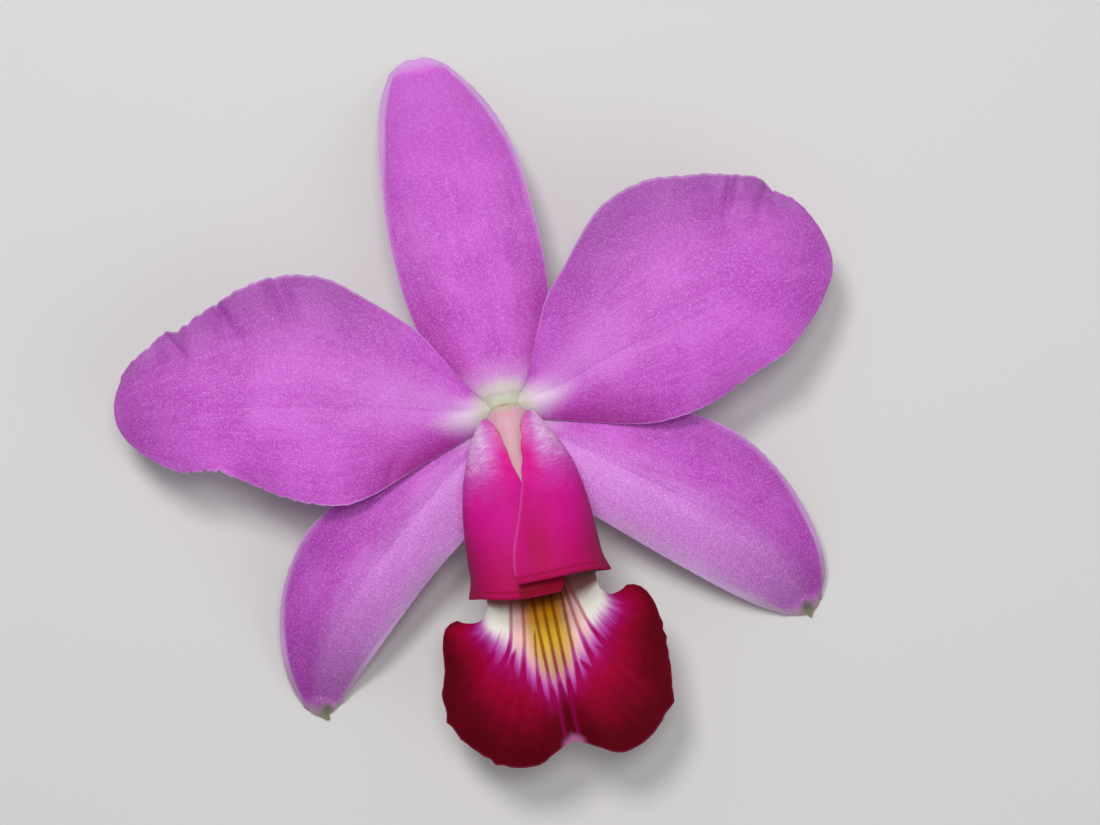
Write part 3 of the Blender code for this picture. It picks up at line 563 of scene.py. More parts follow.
def tepalFace(name, look):
    coat, point, across, v, crystal, glint, streak, grain, cloud, veins = tepalGround(name, look)
    edge = abs(across)
    toPale = across * look["paleSide"]
    coat.colour = coat.mix((cloud * 0.6 + streak * 0.4).rise(0.36, 0.64), "deep", "light")
    coat.lay(0.6, "lilac")
    # one half of the blade is paler, partly its own paler tissue and partly painted light where that half faces the
    # lamp, and a band of painted light runs on from the claw along it
    half = (toPale + (streak - 0.5) * 0.3).rise(-0.45, 0.20) * v.rise(0.0, 0.1)
    coat.lay(half * look["lighter"], "palest")
    beam = (toPale + (streak - 0.5) * 0.2).bell(0.10, 0.62) * v.fall(0.06, 0.50)
    coat.lay(beam * look["beam"], "palest")
    inner = toPale.rise(0.5, 1.0) * v.rise(0.25, 0.45)
    coat.lay(inner * look["lighter"] * 0.8, "frost")
    # painted light: the blade's end made lighter where it dips away from the lamp
    coat.lay(v.rise(0.5, 0.85) * look["tip"], "light")
    # painted shade: deeper magenta beside it, at the foot of the other half, where the base turns away from the lamp
    other = (0 - toPale).rise(0.15, 0.95) if look["paleSide"] else edge.rise(0.35, 0.8)
    foot = other * v.rise(0.04, 0.10) * v.fall(0.18, 0.46)
    coat.lay(foot * look["deepBase"], "magenta")
    # faint veins, and the midrib's line
    vein = veins.rise(0.75, 1.0)
    coat.lay(vein * v.rise(0.3, 0.8) * 0.10, "deep")
    coat.lay(across.bell(0.0, 0.03) * v.fall(0.45, 0.8) * 0.3, "deep")
    # painted shade: duskier where the blade turns down, at its end and towards one margin
    start, endward, sideward = look["dusk"]
    aside = edge
    if look["paleSide"]:
        aside = toPale * (1 if look["deepBase"] else -1)
    turned = aside.rise(0.25, 1.05) * v.rise(0.12, 0.4) * sideward
    turned = turned.most((v + (cloud - 0.5) * 0.1).rise(start, 1.08) * endward * 1.2)
    coat.lay(turned, "dusk")
    # crystalline cells: the dark grain is the tissue's own, the light cells and bright points are painted sparkle,
    # dimmer where shade is painted
    coat.lay(grain.fall(0.28, 0.56) * 0.45, "deep")
    bright = (1 - foot * look["deepBase"] * 0.7) * (1 - turned * 0.8)
    spark = coat.mix(half * look["lighter"], "spark", "glint")
    coat.lay(crystal * bright * 0.6, spark)
    coat.lay(glint * bright * 0.42, "glint")
    # pale margins, widest towards the tip, and greyer there where the tip is green
    border = (edge + (streak - 0.5) * 0.08 + v.rise(0.6, 1.0) * 0.15).rise(0.90, 1.0) * v.rise(0.25, 0.85)
    border = border.most((v + (grain - 0.5) * 0.03).rise(0.955, 0.995))
    tipTone = "tipGrey" if "greenTip" in look else "margin"
    coat.lay(border * look["paleEdge"], coat.mix(v.rise(0.80, 0.97), "margin", tipTone))
    coat.lay(edge.rise(0.975, 0.995) * 0.45, "margin")
    # white claw
    reach, width, middle, strength = look["claw"]
    claw = v / reach + abs(toPale - middle) / width + (streak - 0.5) * 0.35
    coat.lay(claw.fall(0.15, 1.10) * strength, "white")
    lowest = (v + (streak - 0.5) * 0.02).fall(0.005, 0.05) * (1 - edge.rise(0.4, 1.0) * 0.7)
    coat.lay(lowest * 0.8, "greenish")
    if "greenTip" in look:
        away = coat.distance(point, look["greenTip"]) + (grain - 0.5) * 0.8
        coat.lay(away.fall(1.0, 3.6) * 0.4, "brown")
        coat.lay(away.fall(0.8, 1.5) * 0.8, "nub")
        root = coat.distance(point, look["darkRoot"]) + (grain - 0.5) * 0.7
        coat.lay(root.fall(0.3, 1.5) * 0.85, "green")
    coat.bump(grain * 0.4 + crystal + streak * 0.8 - vein * 0.3, 0.4, 0.10 * mm)
    return coat.done(0.58 - glint * 0.25 - crystal * 0.12, **tepalTissue)


def tepalBack(name, look):
    coat, point, across, v, crystal, glint, streak, grain, cloud, veins = tepalGround(name, look)
    coat.colour = coat.mix((cloud * 0.5 + streak * 0.5).rise(0.32, 0.68), "backLilac", "palest")
    vein = veins.rise(0.6, 1.0)
    coat.lay(vein * 0.22, "lilac")
    coat.lay(across.bell(0.0, 0.14) * v.fall(0.2, 0.95) * 0.6, "backRib")
    # paler cells: painted sparkle of the crystalline surface
    coat.lay(crystal * 0.25, "margin")
    coat.lay(v.fall(0.0, 0.26) * 0.8, "greenish")
    if "greenTip" in look:
        coat.lay(coat.distance(point, look["greenTip"]).fall(0.9, 3.4), "green")
    coat.bump(grain * 0.6 + streak + vein * 0.5, 0.35, 0.12 * mm)
    return coat.done(0.55 + (grain - 0.5) * 0.15, **tepalTissue)


# The rolled part is cut across at each y: middle, half width, heights of floor, widest place and
# roof, and where the left and the right lobe's free margins lie on the roof.
lipPlan = {
    "stations": [
        (-0.6, -0.4, 4.8, 15.9, 18.6, 21.3, -3.8, 3.0),
        (-2.6, -0.4, 6.0, 16.6, 19.5, 24.0, -2.4, 1.9),
        (-5.0, -0.4, 7.0, 17.4, 20.6, 25.9, -1.8, 1.4),
        (-8.0, -0.3, 8.0, 18.2, 21.9, 27.8, -1.2, 0.9),
        (-11.5, -0.3, 9.1, 19.1, 23.4, 29.6, -0.3, 0.2),
        (-17.0, -0.4, 10.1, 20.4, 25.6, 32.4, 1.2, -1.4),
        (-23.0, -0.5, 10.5, 21.8, 27.8, 35.0, 2.6, -3.4),
        (-27.0, -0.5, 10.7, 22.7, 29.3, 36.8, 3.2, -4.1),
        (-29.2, -0.5, 11.3, 23.1, 30.3, 38.0, 3.4, -3.8),
    ],
    "frontMargin": [
        (-15.4, -32.7, 21.0), (-17.3, -33.4, 20.2), (-18.5, -36.2, 19.6), (-19.1, -40.4, 19.0), (-20.3, -44.8, 18.6),
        (-20.0, -49.0, 18.4), (-18.8, -52.4, 18.4), (-15.4, -56.0, 18.6), (-11.0, -58.6, 19.2), (-7.0, -59.0, 20.2),
        (-3.9, -57.4, 21.2), (-0.6, -56.2, 21.8), (2.5, -57.6, 21.2), (7.0, -59.8, 20.0), (11.0, -58.8, 19.2),
        (14.5, -56.0, 18.6), (17.0, -52.2, 18.2), (17.6, -47.0, 18.0), (18.1, -42.4, 18.2), (17.4, -37.2, 18.8),
        (16.2, -34.2, 19.6), (14.9, -33.0, 20.3), (13.4, -32.7, 20.9),
    ],
    # small points on the front margin: share of the margin, half length, size
    "teeth": [
        (0.205, 0.006, 0.9), (0.335, 0.008, 0.6), (0.735, 0.012, 0.6), (0.80, 0.006, 0.4), (0.845, 0.005, -0.4),
        (0.875, 0.005, -0.4), (0.90, 0.004, -0.3), (0.16, 0.01, 0.3), (0.27, 0.008, -0.25),
    ],
    # veins of the throat: how far below veinsFrom each starts, then its x there, its slope and its bend
    "veinsFrom": 36.0,
    "veins": [
        (None, -0.86, 0.0, 0.0), (None, 0.66, 0.0, 0.0), (None, -2.38, 0.0, 0.0), (None, 2.43, 0.0, 0.0),
        (-1.5, -2.95, -0.18, 0.006), (None, -4.7, -0.15, -0.011), (1.0, -5.05, -0.65, 0.024),
        (None, -6.85, -0.20, -0.06), (1.0, -8.1, -0.78, 0.0), (0.8, -9.8, -1.0, 0.0),
        (5.0, 2.98, -0.415, 0.065), (None, 3.82, 0.12, 0.011), (3.4, 0.5, 1.1, 0.0), (None, 5.45, 0.27, 0.036),
    ],
    "floorAngle": radians(53), "floorFrom": 0.275, "floorTo": 0.725,
    "columns": 160, "rows": 110, "frontRows": 90, "thickness": 0.7,
    "paints": {
        "magenta": paint(204, 14, 142), "pink": paint(222, 14, 144), "crimson": paint(176, 0, 84),
        "lilacWhite": paint(248, 220, 246), "lilac": paint(214, 88, 204), "rimRed": paint(132, 6, 28),
        "flank": paint(98, 6, 40), "edgeRed": paint(154, 24, 70), "edgeHighlight": paint(226, 96, 168),
        "cream": paint(240, 228, 180), "velvet": paint(172, 0, 58), "deepVelvet": paint(150, 0, 42),
        "dark": paint(82, 0, 10), "glow": paint(168, 4, 106), "violet": paint(182, 66, 166),
        "orchid": paint(198, 104, 184), "white": paint(244, 242, 230), "blush": paint(244, 198, 192),
        "peach": paint(208, 156, 136), "gold": paint(216, 176, 50), "orange": paint(222, 148, 12),
        "veinBrown": paint(150, 78, 2), "veinRed": paint(136, 24, 44), "veinPink": paint(184, 86, 90),
        "veinWine": paint(146, 22, 78), "shade": paint(84, 14, 0), "shadeRose": paint(126, 52, 58),
        "notch": paint(176, 110, 160),
    },
}


def tubePlaces(plan, u, s):
    # a point of the rolled part, from its share round the section and its share of the length
    stations = smoothLine([(0.0, station[0]) + station for station in plan["stations"]], s)
    y, middle, halfWidth, floor, side, roof, leftMargin, rightMargin = stations[:, 2:].T
    crisp = (1 - rise(s, 0.36, 0.44)) * rise(s, 0.03, 0.10)
    leftMargin = leftMargin + crisp * 0.08 * np.sin(s * 36)
    rightMargin = rightMargin + crisp * 0.11 * np.sin(s * 44 + 2)
    # the lower lobe's corner is round at the rim
    leftMargin = leftMargin - 0.7 * rise(s, 0.95, 1.0) ** 2
    leftEnd = -pi - np.arcsin((leftMargin - middle) / halfWidth)
    rightEnd = pi - np.arcsin((rightMargin - middle) / halfWidth)
    low, high, wide = plan["floorFrom"], plan["floorTo"], plan["floorAngle"]
    shoulder = radians(95)
    angle = -wide + 2 * wide * within((u - low) / (high - low))
    angle = np.where(u < low, leftEnd + (-wide - leftEnd) * within(u / low), angle)
    angle = np.where(u > high, wide + (rightEnd - wide) * within((u - high) / (1 - high)), angle)
    depth = np.where(np.cos(angle) > 0, side - floor, roof - side)
    corner = hump(np.abs(angle), shoulder, radians(16)) * rise(s, 0.88, 1.0)
    x = middle + (halfWidth + 0.4 * corner) * np.sin(angle)
    z = side - depth * np.cos(angle)
    roofed = rise(np.abs(angle), shoulder, radians(140))
    z += np.sign(angle) * 0.7 * (rise(s, 0.12, 0.32) * roofed)
    # the upper lobe's free edge comes down on the lower one
    z -= 0.62 * rise(u, 0.955, 1.0) * rise(s, 0.30, 0.45)
    y = y - 3.4 * (1 + np.cos(angle)) / 2 * (1 - rise(s, 0.0, 0.35))
    y = y - 1.25 * rise(-angle, radians(108), radians(172)) * rise(s, 0.5, 1.0)
    y = y + 1.15 * rise(angle, radians(80), radians(145)) * rise(s, 0.5, 1.0)
    # crosswise crinkles near the base, lengthwise ribs towards the rim, and the rim turned up
    crinkle = np.sin(s * 74 + 3 * np.sin(u * 19)) * (1 - rise(s, 0.22, 0.48)) * rise(s, 0.04, 0.12)
    z += 0.10 * crinkle * roofed
    z += 0.10 * np.sin(u * 64) * rise(s, 0.35, 0.6) * roofed
    z += 0.38 * rise(s, 0.955, 1.0) * roofed
    return np.stack([x, y, z], axis=1)


def frontPlaces(plan, f, w):
    # the free front of the lip fans out from the floor at the rim
    low, high = plan["floorFrom"], plan["floorTo"]
    start = tubePlaces(plan, low + (high - low) * f, np.ones_like(f))
    outer = smoothLine(plan["frontMargin"], f)
    belly = np.sin(pi * f)
    leaving = (4.8 + 4.8 * belly)[:, None]
    meeting = (3.6 + 5.4 * belly)[:, None]
    turn = radians(-32) + radians(244) * f
    inward = np.stack([np.cos(turn), np.sin(turn), np.full_like(turn, 0.25)], axis=1)
    for place, halfLength, size in plan["teeth"]:
        outer = outer - inward * (size * np.exp(-np.abs((f - place) / halfLength) ** 1.5))[:, None]
    frayed = np.sin(f * 211) + 0.7 * np.sin(f * 367 + 1) + 0.6 * np.sin(f * 119 + 2)
    outer = outer - inward * (0.07 * frayed * belly)[:, None]
    firstHandle = start + leaving * np.array([0.0, -1.0, 0.12])
    lastHandle = outer + meeting * inward
    t = w[:, None]
    points = (1 - t) ** 3 * start + 3 * t * (1 - t) ** 2 * firstHandle
    points += 3 * t**2 * (1 - t) * lastHandle + t**3 * outer
    swell = np.sin(pi * w) * np.abs(np.sin(2 * pi * f)) ** 0.7
    valley = hump(f, 0.5, 0.06) * rise(w, 0.25, 0.75)
    waves = np.sin(2 * pi * 9 * f + 0.6) * w**5
    fine = np.sin(2 * pi * 23 * f + 1.9) * w**8
    points[:, 2] += 1.3 * swell - 0.9 * valley + (0.5 * waves + 0.22 * fine) * belly
    # two low crests beside the valley, and fine radiating ribs
    crest = hump(np.abs(f - 0.5), 0.045, 0.02) * rise(w, 0.3, 0.6)
    ribs = np.sin(2 * pi * 26 * f) * rise(w, 0.1, 0.35) * (1 - w**3)
    points[:, 2] += 0.30 * crest + 0.06 * ribs
    return points


def lipPiece(plan):
    low, high = plan["floorFrom"], plan["floorTo"]
    tube, x, y = gridPiece("lipTube", plan["columns"], plan["rows"])
    u = (x + 1) / 2
    s = (1 - y) / 2
    moveTo(tube, tubePlaces(plan, u, s))
    mapUv(tube, u, s)
    free = rise(np.abs(u - 0.5), 0.42, 0.5)
    rim = rise(s, 0.9, 1.0) * rise(np.abs(u - 0.5), 0.21, 0.24)
    setThickness(tube, 1 - 0.5 * np.maximum(free, rim))

    front, x, y = gridPiece("lipFront", round(plan["columns"] * (high - low)), plan["frontRows"])
    f = (x + 1) / 2
    w = (1 - y) / 2
    moveTo(front, frontPlaces(plan, f, w))
    mapUv(front, low + (high - low) * f, 1 + w)
    side = rise(np.abs(f - 0.5), 0.44, 0.5) * rise(w, 0.0, 0.1)
    setThickness(front, 1 - 0.5 * np.maximum(rise(w, 0.75, 1.0), side))

    pick(tube)
    front.select_set(True)
    bpy.ops.object.join()
    tube.name = "lip"
    editAll(tube, bpy.ops.mesh.remove_doubles, threshold=0.01 * mm)
    tube.data.materials.append(lipInside("lipInside", plan))
    tube.data.materials.append(lipOutside("lipOutside", plan))
    thicken(tube, plan["thickness"])
    smoothShade(tube, 55)
    belongs(tube, "lip")


def lipGround(name, plan):
    coat = Coat(name, plan["paints"])
    u, v = coat.bladeMap()
    point = coat.objectPlace()
    x, y, z = coat.parts(point)
    return coat, u, v, point, x, 0 - y, coat.noise(point, 2.8, roughness=0.7), coat.noise(point, 0.2)


def lipInside(name, plan):
    # the face of the front lobe, and the lining of the tube
    coat, u, v, point, x, down, grain, cloud = lipGround(name, plan)
    f = (u - plan["floorFrom"]) / (plan["floorTo"] - plan["floorFrom"])
    w = v - 1
    offFloor, offRays, offAxis, offNotch = abs(f - 0.5), abs(f - 0.49), abs(x - axisX), abs(x + 0.6)
    mottle = coat.noise(point, 0.8, roughness=0.6)
    fibre = coat.noise(coat.vector(f * 44, w * 2.6), roughness=0.6)

    # velvet: crimson with faint radiating veins, darkest at the outer margin, partly its own deeper crimson and
    # partly painted shade where the margin falls back
    tone = (fibre * 0.3 + cloud * 0.4 + mottle * 0.3).rise(0.40, 0.60)
    coat.colour = coat.mix(tone, "deepVelvet", "velvet")
    outer = w + (cloud - 0.5) * 0.3 + (mottle - 0.5) * 0.15 - offFloor.rise(0.36, 0.5) * 0.2
    coat.lay(outer.rise(0.48, 0.92) * 0.92, "dark")
    ray = (f * 150 + (mottle - 0.5) * 8).wave().rise(0.5, 1.0) * w.rise(0.1, 0.4)
    coat.lay(ray * 0.13, "dark")

    # veins of the throat: how far off the nearest one runs
    t = down - plan["veinsFrom"]
    bent = t.most(0.0)
    bent = bent * bent
    off = 9.0
    for start, at, slope, bend in plan["veins"]:
        line = coat.sums("MULTIPLY_ADD", bent, bend, coat.sums("MULTIPLY_ADD", t, slope, at))
        gap = abs(x - line + (mottle - 0.5) * 0.15)
        if start is not None:
            gap = gap + t.fall(start, start + 3.2) * 0.9 + 0.08
        off = coat.sums("MINIMUM", gap, off)
    near = off.fall(0.15, 0.75)

    # how far a place is below the end of the pale throat, which reaches furthest down in the middle
    turn = (f - 0.487) / 0.09
    corners, edge, side = offRays.rise(0.30, 0.43), offRays.rise(0.37, 0.47), offRays.rise(0.12, 0.38)
    end = 0.30 / (turn * turn + 1) + 0.38 + corners * 0.06 + edge * 0.03
    below = (w - end) * 26 + (0.5 - fibre) * (side * 2.5 + 2.5)
    below = below / (side * 0.5 + edge * 0.9 + 1)
    glowing = below.fall(0.2, 3.6) * w.fall(0.78, 0.98)
    coat.lay(glowing * (side * 0.3 + 0.5), "glow")
    coat.lay((below + near * 2.4).fall(-0.5, 1.5) * 0.9, "violet")

    # the rays between the veins: golden in the middle, blushed beside it, white in the corners
    rays = coat.mix((abs(x + 0.7) - t * 0.25).rise(5.2, 7.0), "blush", "white")
    middle = abs(x + 0.9).fall(1.6, 4.6)
    rays = coat.mix(middle, rays, "peach")
    golden = coat.mix(t.rise(-2.0, 1.5), "orange", "gold")
    rays = coat.mix(middle * t.fall(2.5, 9.0), rays, golden)
    rays = coat.mix(below.rise(side - 3.8, 0.3), rays, "orchid")
    sides = offAxis.rise(2.8, 4.4)
    middleVein = coat.mix(t.rise(1.0, 7.0), "veinBrown", "veinRed")
    sideVein = coat.mix(t.rise(-1.0, 5.0), "veinPink", "veinWine")
    vein = off.fall(0.10, 0.48)
    rays = coat.mix(vein * (0.88 - sides * 0.14), rays, coat.mix(sides, middleVein, sideVein))
    bare = (below + near * 2.2).fall(-1.8, 0.6)
    coat.lay(bare, rays)
    # painted shadow under the lobes' rim, weaker inside the tube
    shaded = (w + (mottle - 0.5) * 0.03).fall(0.085, 0.19) * (w.rise(-0.3, -0.05) * 0.5 + 0.42)
    coat.lay(shaded, coat.mix(offAxis.fall(2.0, 5.0), "shadeRose", "shade"))

    # the dark stripe down to the notch, its two light lines, and the pale mark at the notch
    low = down.rise(46.5, 50.5)
    coat.lay(x.bell(-0.6, 0.95) * low * 0.8, "dark")
    coat.lay(x.bell(-1.75, 0.6).most(x.bell(0.45, 0.6)) * low * 0.35, "glow")
    notch = (down - offNotch * 0.55 + (mottle - 0.5)).rise(54.2, 55.8) * offNotch.fall(0.9, 2.6)
    coat.lay(notch * 0.8, "notch")
    # painted highlight: a faint light line along the thin front margin
    coat.lay(w.rise(0.98, 0.998) * 0.10, "edgeHighlight")

    # only the floor of the tube carries the rays: the lobes' lining is crimson
    coat.lay(offFloor.rise(0.505, 0.56), "crimson")
    coat.bump(grain * 0.6 + fibre * 1.1 - vein * bare * 0.8, 0.4, 0.15 * mm)
    return coat.done(0.58 + (grain - 0.5) * 0.25, soft=(0.06, 0.0006, (1.0, 0.3, 0.4)), shine=0.06)


def lipOutside(name, plan):
    # the outside of the tube, and the underside of the front lobe
    coat, u, v, point, x, down, grain, cloud = lipGround(name, plan)
    # share of the way round from a free margin: 0.19 is the widest place, 0.5 the keel below
    around = 0.5 - abs(u - 0.5)
    fibre = coat.noise(coat.vector(u * 60, v * 5.0), roughness=0.6)
    skewed = coat.vector(u * 26 + v * 12, v * 46 - u * 8)
    wrinkle = coat.noise(skewed, detail=4.0, roughness=0.6, distortion=1.2)

    coat.colour = coat.mix((fibre * 0.4 + cloud * 0.6).rise(0.38, 0.62), "crimson", "magenta")
    coat.lay(0.7, "magenta")
    # redder over the middle of the upper lobe and towards the rim, and darker down the flanks, where painted shade
    # stands for the tube's sides turning away from the lamp
    redder = down.rise(10.0, 24.0) * x.bell(0.6, 6.0) * u.rise(0.6, 0.7)
    coat.lay(redder.most((down + abs(x) * 0.1).rise(15.0, 31.0)), "crimson")
    flanks = (around + (fibre - 0.5) * 0.04).rise(0.09, 0.22) * down.rise(12.0, 25.0)
    coat.lay(flanks * 0.88, "flank")
    # painted shadow of the upper lobe on the lower lobe's edge tucked under its rim
    tuckedShadow = u.fall(0.3, 0.32) * x.rise(-4.4, -3.6) * down.rise(27.2, 28.2)
    coat.lay(tuckedShadow * 0.9, "rimRed")
    # lilac, whitish and wrinkled over the shoulders at the base, but for the bright free margins
    away = around.rise(0.015, 0.085).most(down.fall(3.0, 9.0) * 0.25)
    fade = down - wrinkle.rise(0.36, 0.64) * 1.4 + (fibre - 0.5) * 1.6 + 0.5
    base = (around + down.fall(4.0, 11.0) * 0.026).rise(0.015, 0.085) * fade.fall(5.2, 16.0)
    coat.lay((1 - away) * down.fall(8.0, 15.0) * 0.7, "pink")
    coat.lay(base, "lilac")
    whitest = away * fade.fall(2.8, 11.5) * (wrinkle.rise(0.34, 0.66) * 0.42 + 0.50)
    coat.lay(whitest, "lilacWhite")
    # cream on the flanks and below at the base, as far as the tube's middle
    coat.lay(around.rise(0.20, 0.30) * (down + (fibre - 0.5) * 6).fall(7.0, 18.0), "cream")
    browner = (abs(x + 0.45) - down * 0.045).rise(8.4, 9.8) * down.rise(10.0, 16.0)
    coat.lay(browner * 0.35, "edgeRed")
    rim = (v.bell(0.968, 0.014) * 0.5 + v.rise(0.985, 0.996) * 0.55) * abs(u - 0.5).rise(0.22, 0.235)
    coat.lay(rim, "rimRed")
    # painted highlight along the rounded edge of the upper lobe where it lies over the lower one
    lap = u.rise(0.993, 0.999) * v.rise(0.38, 0.45) * v.fall(0.9, 0.98)
    coat.lay(lap * 0.3, "edgeHighlight")
    coat.lay(v.rise(1.0, 1.3) * 0.6, "edgeRed")
    coat.bump(grain * 0.3 + fibre * 0.4 + wrinkle * (base * 2.1 + 0.3), 0.75, 0.20 * mm)
    return coat.done(0.55 + (grain - 0.5) * 0.2, soft=(0.08, 0.0008, (1.0, 0.3, 0.5)), shine=0.14)


# Bodies round a line: x, y, height, half width and half depth at each place. The ends are the shares
# of the length that close them.
column = {
    "name": "column", "node": "column", "slot": "column_tissue", "coat": "columnWax",
    "sides": 56, "rings": 80,
    "line": [
        (-0.4, -1.3, 17.2, 3.0, 2.0), (-0.4, -1.5, 18.2, 3.3, 2.1), (-0.4, -3.1, 20.2, 3.3, 2.1),
        (-0.4, -6.4, 22.4, 3.2, 2.1), (-0.3, -11.6, 25.1, 3.2, 2.3), (-0.3, -17.0, 27.8, 3.5, 2.4),
        (-0.3, -21.6, 29.8, 3.9, 2.5), (-0.3, -24.4, 30.8, 3.6, 2.2),
    ],
    "ends": (0.04, 0.05),
    "paints": {
        "pinkWhite": paint(224, 166, 184), "cream": paint(222, 196, 192), "footCream": paint(214, 200, 172),
        "yellowGreen": paint(168, 172, 100), "purple": paint(170, 60, 130),
    },
}

antherCap = {
    "name": "antherCap", "node": "anther_cap", "slot": "anther_tissue", "coat": "antherWax",
    "sides": 48, "rings": 40,
    "line": [
        (-0.3, -24.5, 30.9, 2.5, 2.0), (-0.3, -25.4, 31.25, 2.5, 2.0), (-0.3, -26.5, 31.6, 2.4, 1.9),
    ],
    "ends": (0.10, 0.50),
    "paints": {
        "cream": paint(222, 196, 192), "greyWhite": paint(184, 182, 166), "purple": paint(170, 60, 130),
    },
}

pedicel = {
    "name": "pedicelAndOvary", "node": "pedicel", "slot": "stalk_tissue", "coat": "stalkWax",
    "sides": 72, "rings": 170,
    "line": [
        (-0.4, 0.6, 16.6, 1.6, 1.6), (-0.4, 0.6, 16.4, 2.8, 2.8), (-0.4, 0.5, 15.4, 3.9, 3.9),
        (-0.4, 0.3, 13.4, 4.0, 4.0), (-0.4, 0.1, 11.4, 3.5, 3.5), (-0.4, -1.2, 8.6, 2.95, 2.95),
        (-0.4, -4.4, 5.5, 2.7, 2.7), (-0.4, -9.2, 3.7, 2.6, 2.6), (-0.4, -15.0, 3.0, 2.5, 2.5),
        (-0.4, -22.0, 2.6, 2.2, 2.2), (-0.4, -28.0, 2.1, 1.8, 1.8), (-0.4, -36.0, 1.95, 1.65, 1.65),
        (-0.4, -46.0, 2.05, 1.75, 1.75), (-0.4, -48.5, 2.25, 1.95, 1.95),
    ],
    "ends": (0.05, 0.04),
    "paints": {
        "green": paint(128, 146, 74), "flush": paint(138, 84, 96), "paleGreen": paint(204, 208, 166),
        "greyWhite": paint(184, 182, 166), "yellowGreen": paint(168, 172, 100), "cut": paint(196, 206, 140),
    },
}


def stemPiece(plan, carve, coating):
    pickNothing()
    bpy.ops.mesh.primitive_uv_sphere_add(segments=plan["sides"], ring_count=plan["rings"], radius=1)
    piece = bpy.context.object
    piece.name = plan["name"]
    ball = places(piece)
    t = np.arccos(np.clip(ball[:, 2], -1.0, 1.0)) / pi
    around = np.arctan2(ball[:, 1], ball[:, 0])
    first, last = plan["ends"]
    along = within((t - first) / (1 - first - last))
    behind, line, ahead = [
        smoothLine(plan["line"], within(along + step), measured=3) for step in (-0.01, 0.0, 0.01)
    ]
    forward = (ahead - behind)[:, :3]
    forward /= lengths(forward)[:, None]
    sideways = np.array([1.0, 0.0, 0.0])
    up = np.cross(forward, sideways)
    up /= lengths(up)[:, None]
    closing = np.sin(np.minimum(within(t / first), within((1 - t) / last)) * pi / 2)
    wide = line[:, 3] * closing
    deep = line[:, 4] * closing
    points = line[:, :3] + sideways * (wide * np.cos(around))[:, None] + up * (deep * np.sin(around))[:, None]
    moveTo(piece, carve(points, along, around, up))
    editAll(piece, bpy.ops.mesh.normals_make_consistent, inside=False)
    smoothShade(piece, 60)
    belongs(piece, plan["node"])
    coat = Coat(plan["coat"], plan["paints"])
    point = coat.objectPlace()
    piece.data.materials.append(coating(coat, point, *coat.parts(point)))


def carveColumn(points, along, around, up):
    # a hollow for the stigma below, near the free end, and a low keel on the back
    below = within(-np.sin(around)) ** 2 * hump(np.cos(around), 0.0, 0.6)
    points = points + up * (1.3 * below * hump(along, 0.86, 0.07))[:, None]
    back = within(np.sin(around)) ** 6
    return points + up * (0.10 * back * (1 - rise(along, 0.8, 1.0)))[:, None]


def carveCap(points, along, around, up):
    # two halves with a groove between them
    groove = hump(np.cos(around), 0.0, 0.22) * within(np.sin(around))
    return points - up * (0.28 * groove)[:, None]


def carvePedicel(points, along, around, up):
    # six ribs along the ovary
    y = points[:, 1]
    ribbed = rise(-y, 1.0, 6.0) * (1 - rise(-y, 22.0, 28.0))
    spread = (points[:, 0] - axisX)[:, None] * np.array([1.0, 0.0, 0.0])
    dent = 0.05 * ribbed * (np.cos(6 * around) - 1)
    return points + spread * dent[:, None] + up * (dent * np.sin(around))[:, None]


def columnCoat(coat, point, x, y, z):
    grain = coat.noise(point, 2.0)
    fibre = coat.noise(coat.vector(x * 2.2, y * 0.3, z * 0.3))
    coat.colour = coat.mix(fibre.rise(0.35, 0.68), "pinkWhite", "cream")
    coat.lay(0.5, "pinkWhite")
    foot = 0 - y + abs(x - axisX) * 0.15 + (fibre - 0.5) * 0.5
    coat.lay(foot.fall(0.1, 0.9) * 0.9, "footCream")
    coat.lay(foot.fall(-0.65, -0.2) * 0.7, "yellowGreen")
    coat.lay((0 - y).rise(16.0, 24.0) * 0.35, "purple")
    coat.bump(grain * 0.5 + fibre, 0.25, 0.12 * mm)
    return coat.done(0.42 + (grain - 0.5) * 0.15, soft=(0.2, 0.0015, (1.0, 0.6, 0.6)))


def capCoat(coat, point, x, y, z):
    grain = coat.noise(point, 2.4)
    coat.colour = coat.mix(grain.rise(0.4, 0.7), "cream", "greyWhite")
    coat.lay(x.bell(-0.3, 0.9) * 0.5, "purple")
    coat.bump(grain, 0.25, 0.12 * mm)
    return coat.done(0.4 + (grain - 0.5) * 0.1, soft=(0.15, 0.001))


def stalkCoat(coat, point, x, y, z):
    grain = coat.noise(point, 1.6, detail=4.0, roughness=0.6)
    speck, chance = coat.cells(point, 1.4)
    fibre = coat.noise(coat.vector(x * 1.8, y * 0.12, z * 1.2))
    coat.colour = coat.mix(fibre.rise(0.35, 0.66), "green", "flush")
    coat.lay(0.45, "green")
    coat.lay(chance.rise(0.80, 0.95) * speck.fall(0.1, 0.4) * 0.35, "flush")
    coat.lay(z.rise(10.0, 14.5), "paleGreen")
    coat.lay((z + (grain - 0.5)).rise(15.2, 16.2) * 0.9, "greyWhite")
    # a green line where the column's foot starts
    coat.lay((y + x * x * 0.05).bell(0.65, 0.5) * z.rise(15.5, 16.2) * 0.7, "yellowGreen")
    # the cut end
    coat.lay((0 - y).rise(48.35, 48.48), coat.mix(grain.rise(0.4, 0.6), "cut", "paleGreen"))
    coat.bump(grain * 0.6 + fibre, 0.3, 0.15 * mm)
    return coat.done(0.45 + (grain - 0.5) * 0.15, soft=(0.12, 0.0012, (0.8, 1.0, 0.4)))


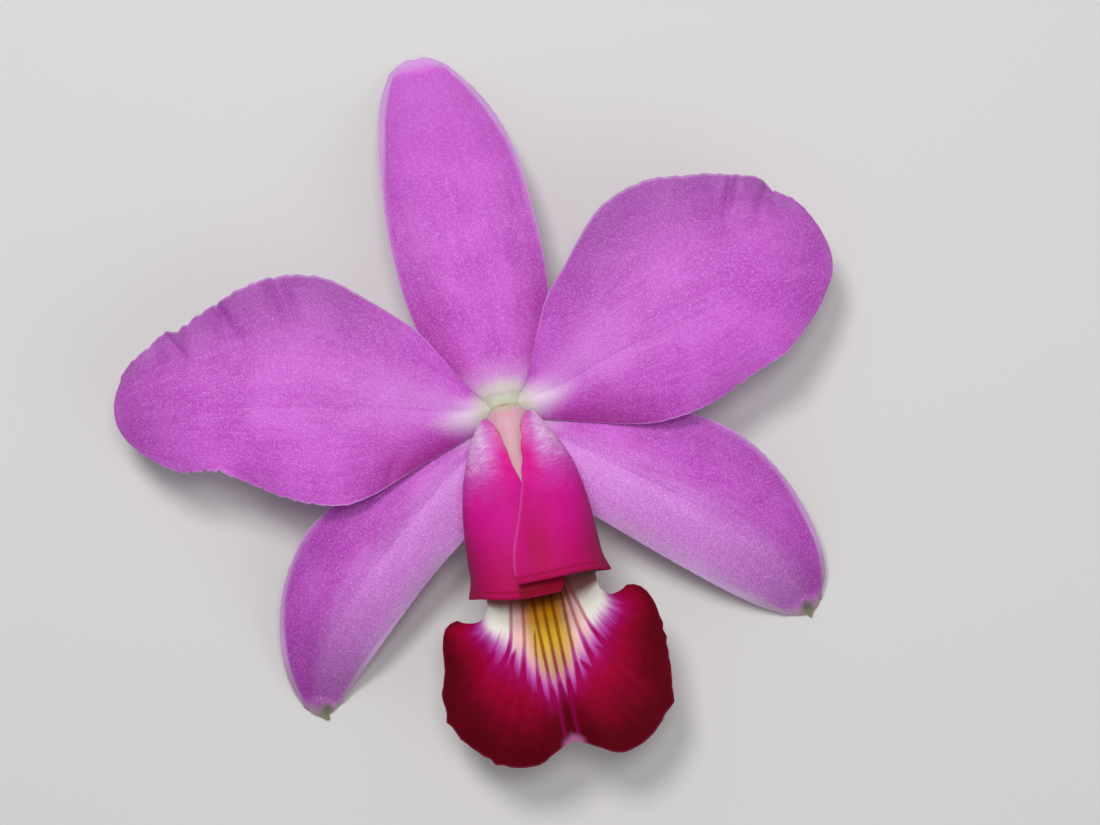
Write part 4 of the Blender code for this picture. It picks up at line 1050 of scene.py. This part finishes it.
# lights: name, place and width in mm, and power
studio = {
    "floorPaint": paint(214, 212, 210), "world": 0.30,
    "lights": [
        ("keyLight", (-60.0, 260.0, 620.0), 160.0, 2.0),
        ("frontLight", (60.0, 90.0, 700.0), 160.0, 1.3),
        ("fillLight", (320.0, -260.0, 420.0), 420.0, 0.35),
    ],
    "cameraHeight": 517.0, "cameraOver": (6.85, -2.22), "turn": -12.0, "sensor": 36.0,
    "widthSeen": 183.33, "widthSeenAt": 500.0,
}


def makeFloor(plan):
    pickNothing()
    bpy.ops.mesh.primitive_plane_add(size=3.0, location=(0.0, 0.0, -0.05 * mm))
    floor = bpy.context.object
    floor.name = "paleFloor"
    coat = Coat("floorPaint", {})
    coat.colour = plan["floorPaint"]
    grain = coat.noise(coat.node("ShaderNodeTexCoord", {}, {}, output="Object"), 900.0, detail=2.0)
    floor.data.materials.append(coat.done(0.75 + grain * 0.1))


def makeLights(plan):
    aim = Vector((bloomAt * mm).tolist()) + Vector((0.0, 0.0, 18.0 * mm))
    for name, spot, size, power in plan["lights"]:
        pickNothing()
        bpy.ops.object.light_add(type="AREA", location=[value * mm for value in spot])
        lamp = bpy.context.object
        lamp.name = name
        lamp.data.shape = "DISK"
        lamp.data.size = size * mm
        lamp.data.energy = power
        lamp.rotation_euler = (aim - lamp.location).to_track_quat("-Z", "Y").to_euler()
    world = bpy.context.scene.world or bpy.data.worlds.new("studio")
    bpy.context.scene.world = world
    world.use_nodes = True
    backdrop = world.node_tree.nodes["Background"]
    backdrop.inputs["Color"].default_value = (0.95, 0.97, 1.0, 1.0)
    backdrop.inputs["Strength"].default_value = plan["world"]


def makeCamera(plan):
    pickNothing()
    over = bloomAt[:2] + np.array(plan["cameraOver"])
    bpy.ops.object.camera_add(location=(over[0] * mm, over[1] * mm, plan["cameraHeight"] * mm))
    camera = bpy.context.object
    camera.name = "photoCamera"
    camera.rotation_euler = (0.0, 0.0, radians(plan["turn"]))
    camera.data.sensor_width = plan["sensor"]
    camera.data.lens = plan["sensor"] * plan["widthSeenAt"] / plan["widthSeen"]
    camera.data.clip_start = 0.01
    bpy.context.scene.camera = camera
    bpy.context.scene.view_settings.view_transform = "Standard"


for plan in (sepalDorsal, sepalLeft, sepalRight, petalLeft, petalRight):
    bladePiece(plan)
    print("made", plan["name"])

lipPiece(lipPlan)
print("made lip")

stemPiece(column, carveColumn, columnCoat)
stemPiece(antherCap, carveCap, capCoat)
stemPiece(pedicel, carvePedicel, stalkCoat)
print("made column, anther cap and stalk")

makeFloor(studio)
makeLights(studio)
makeCamera(studio)
print("made floor, lights and camera")
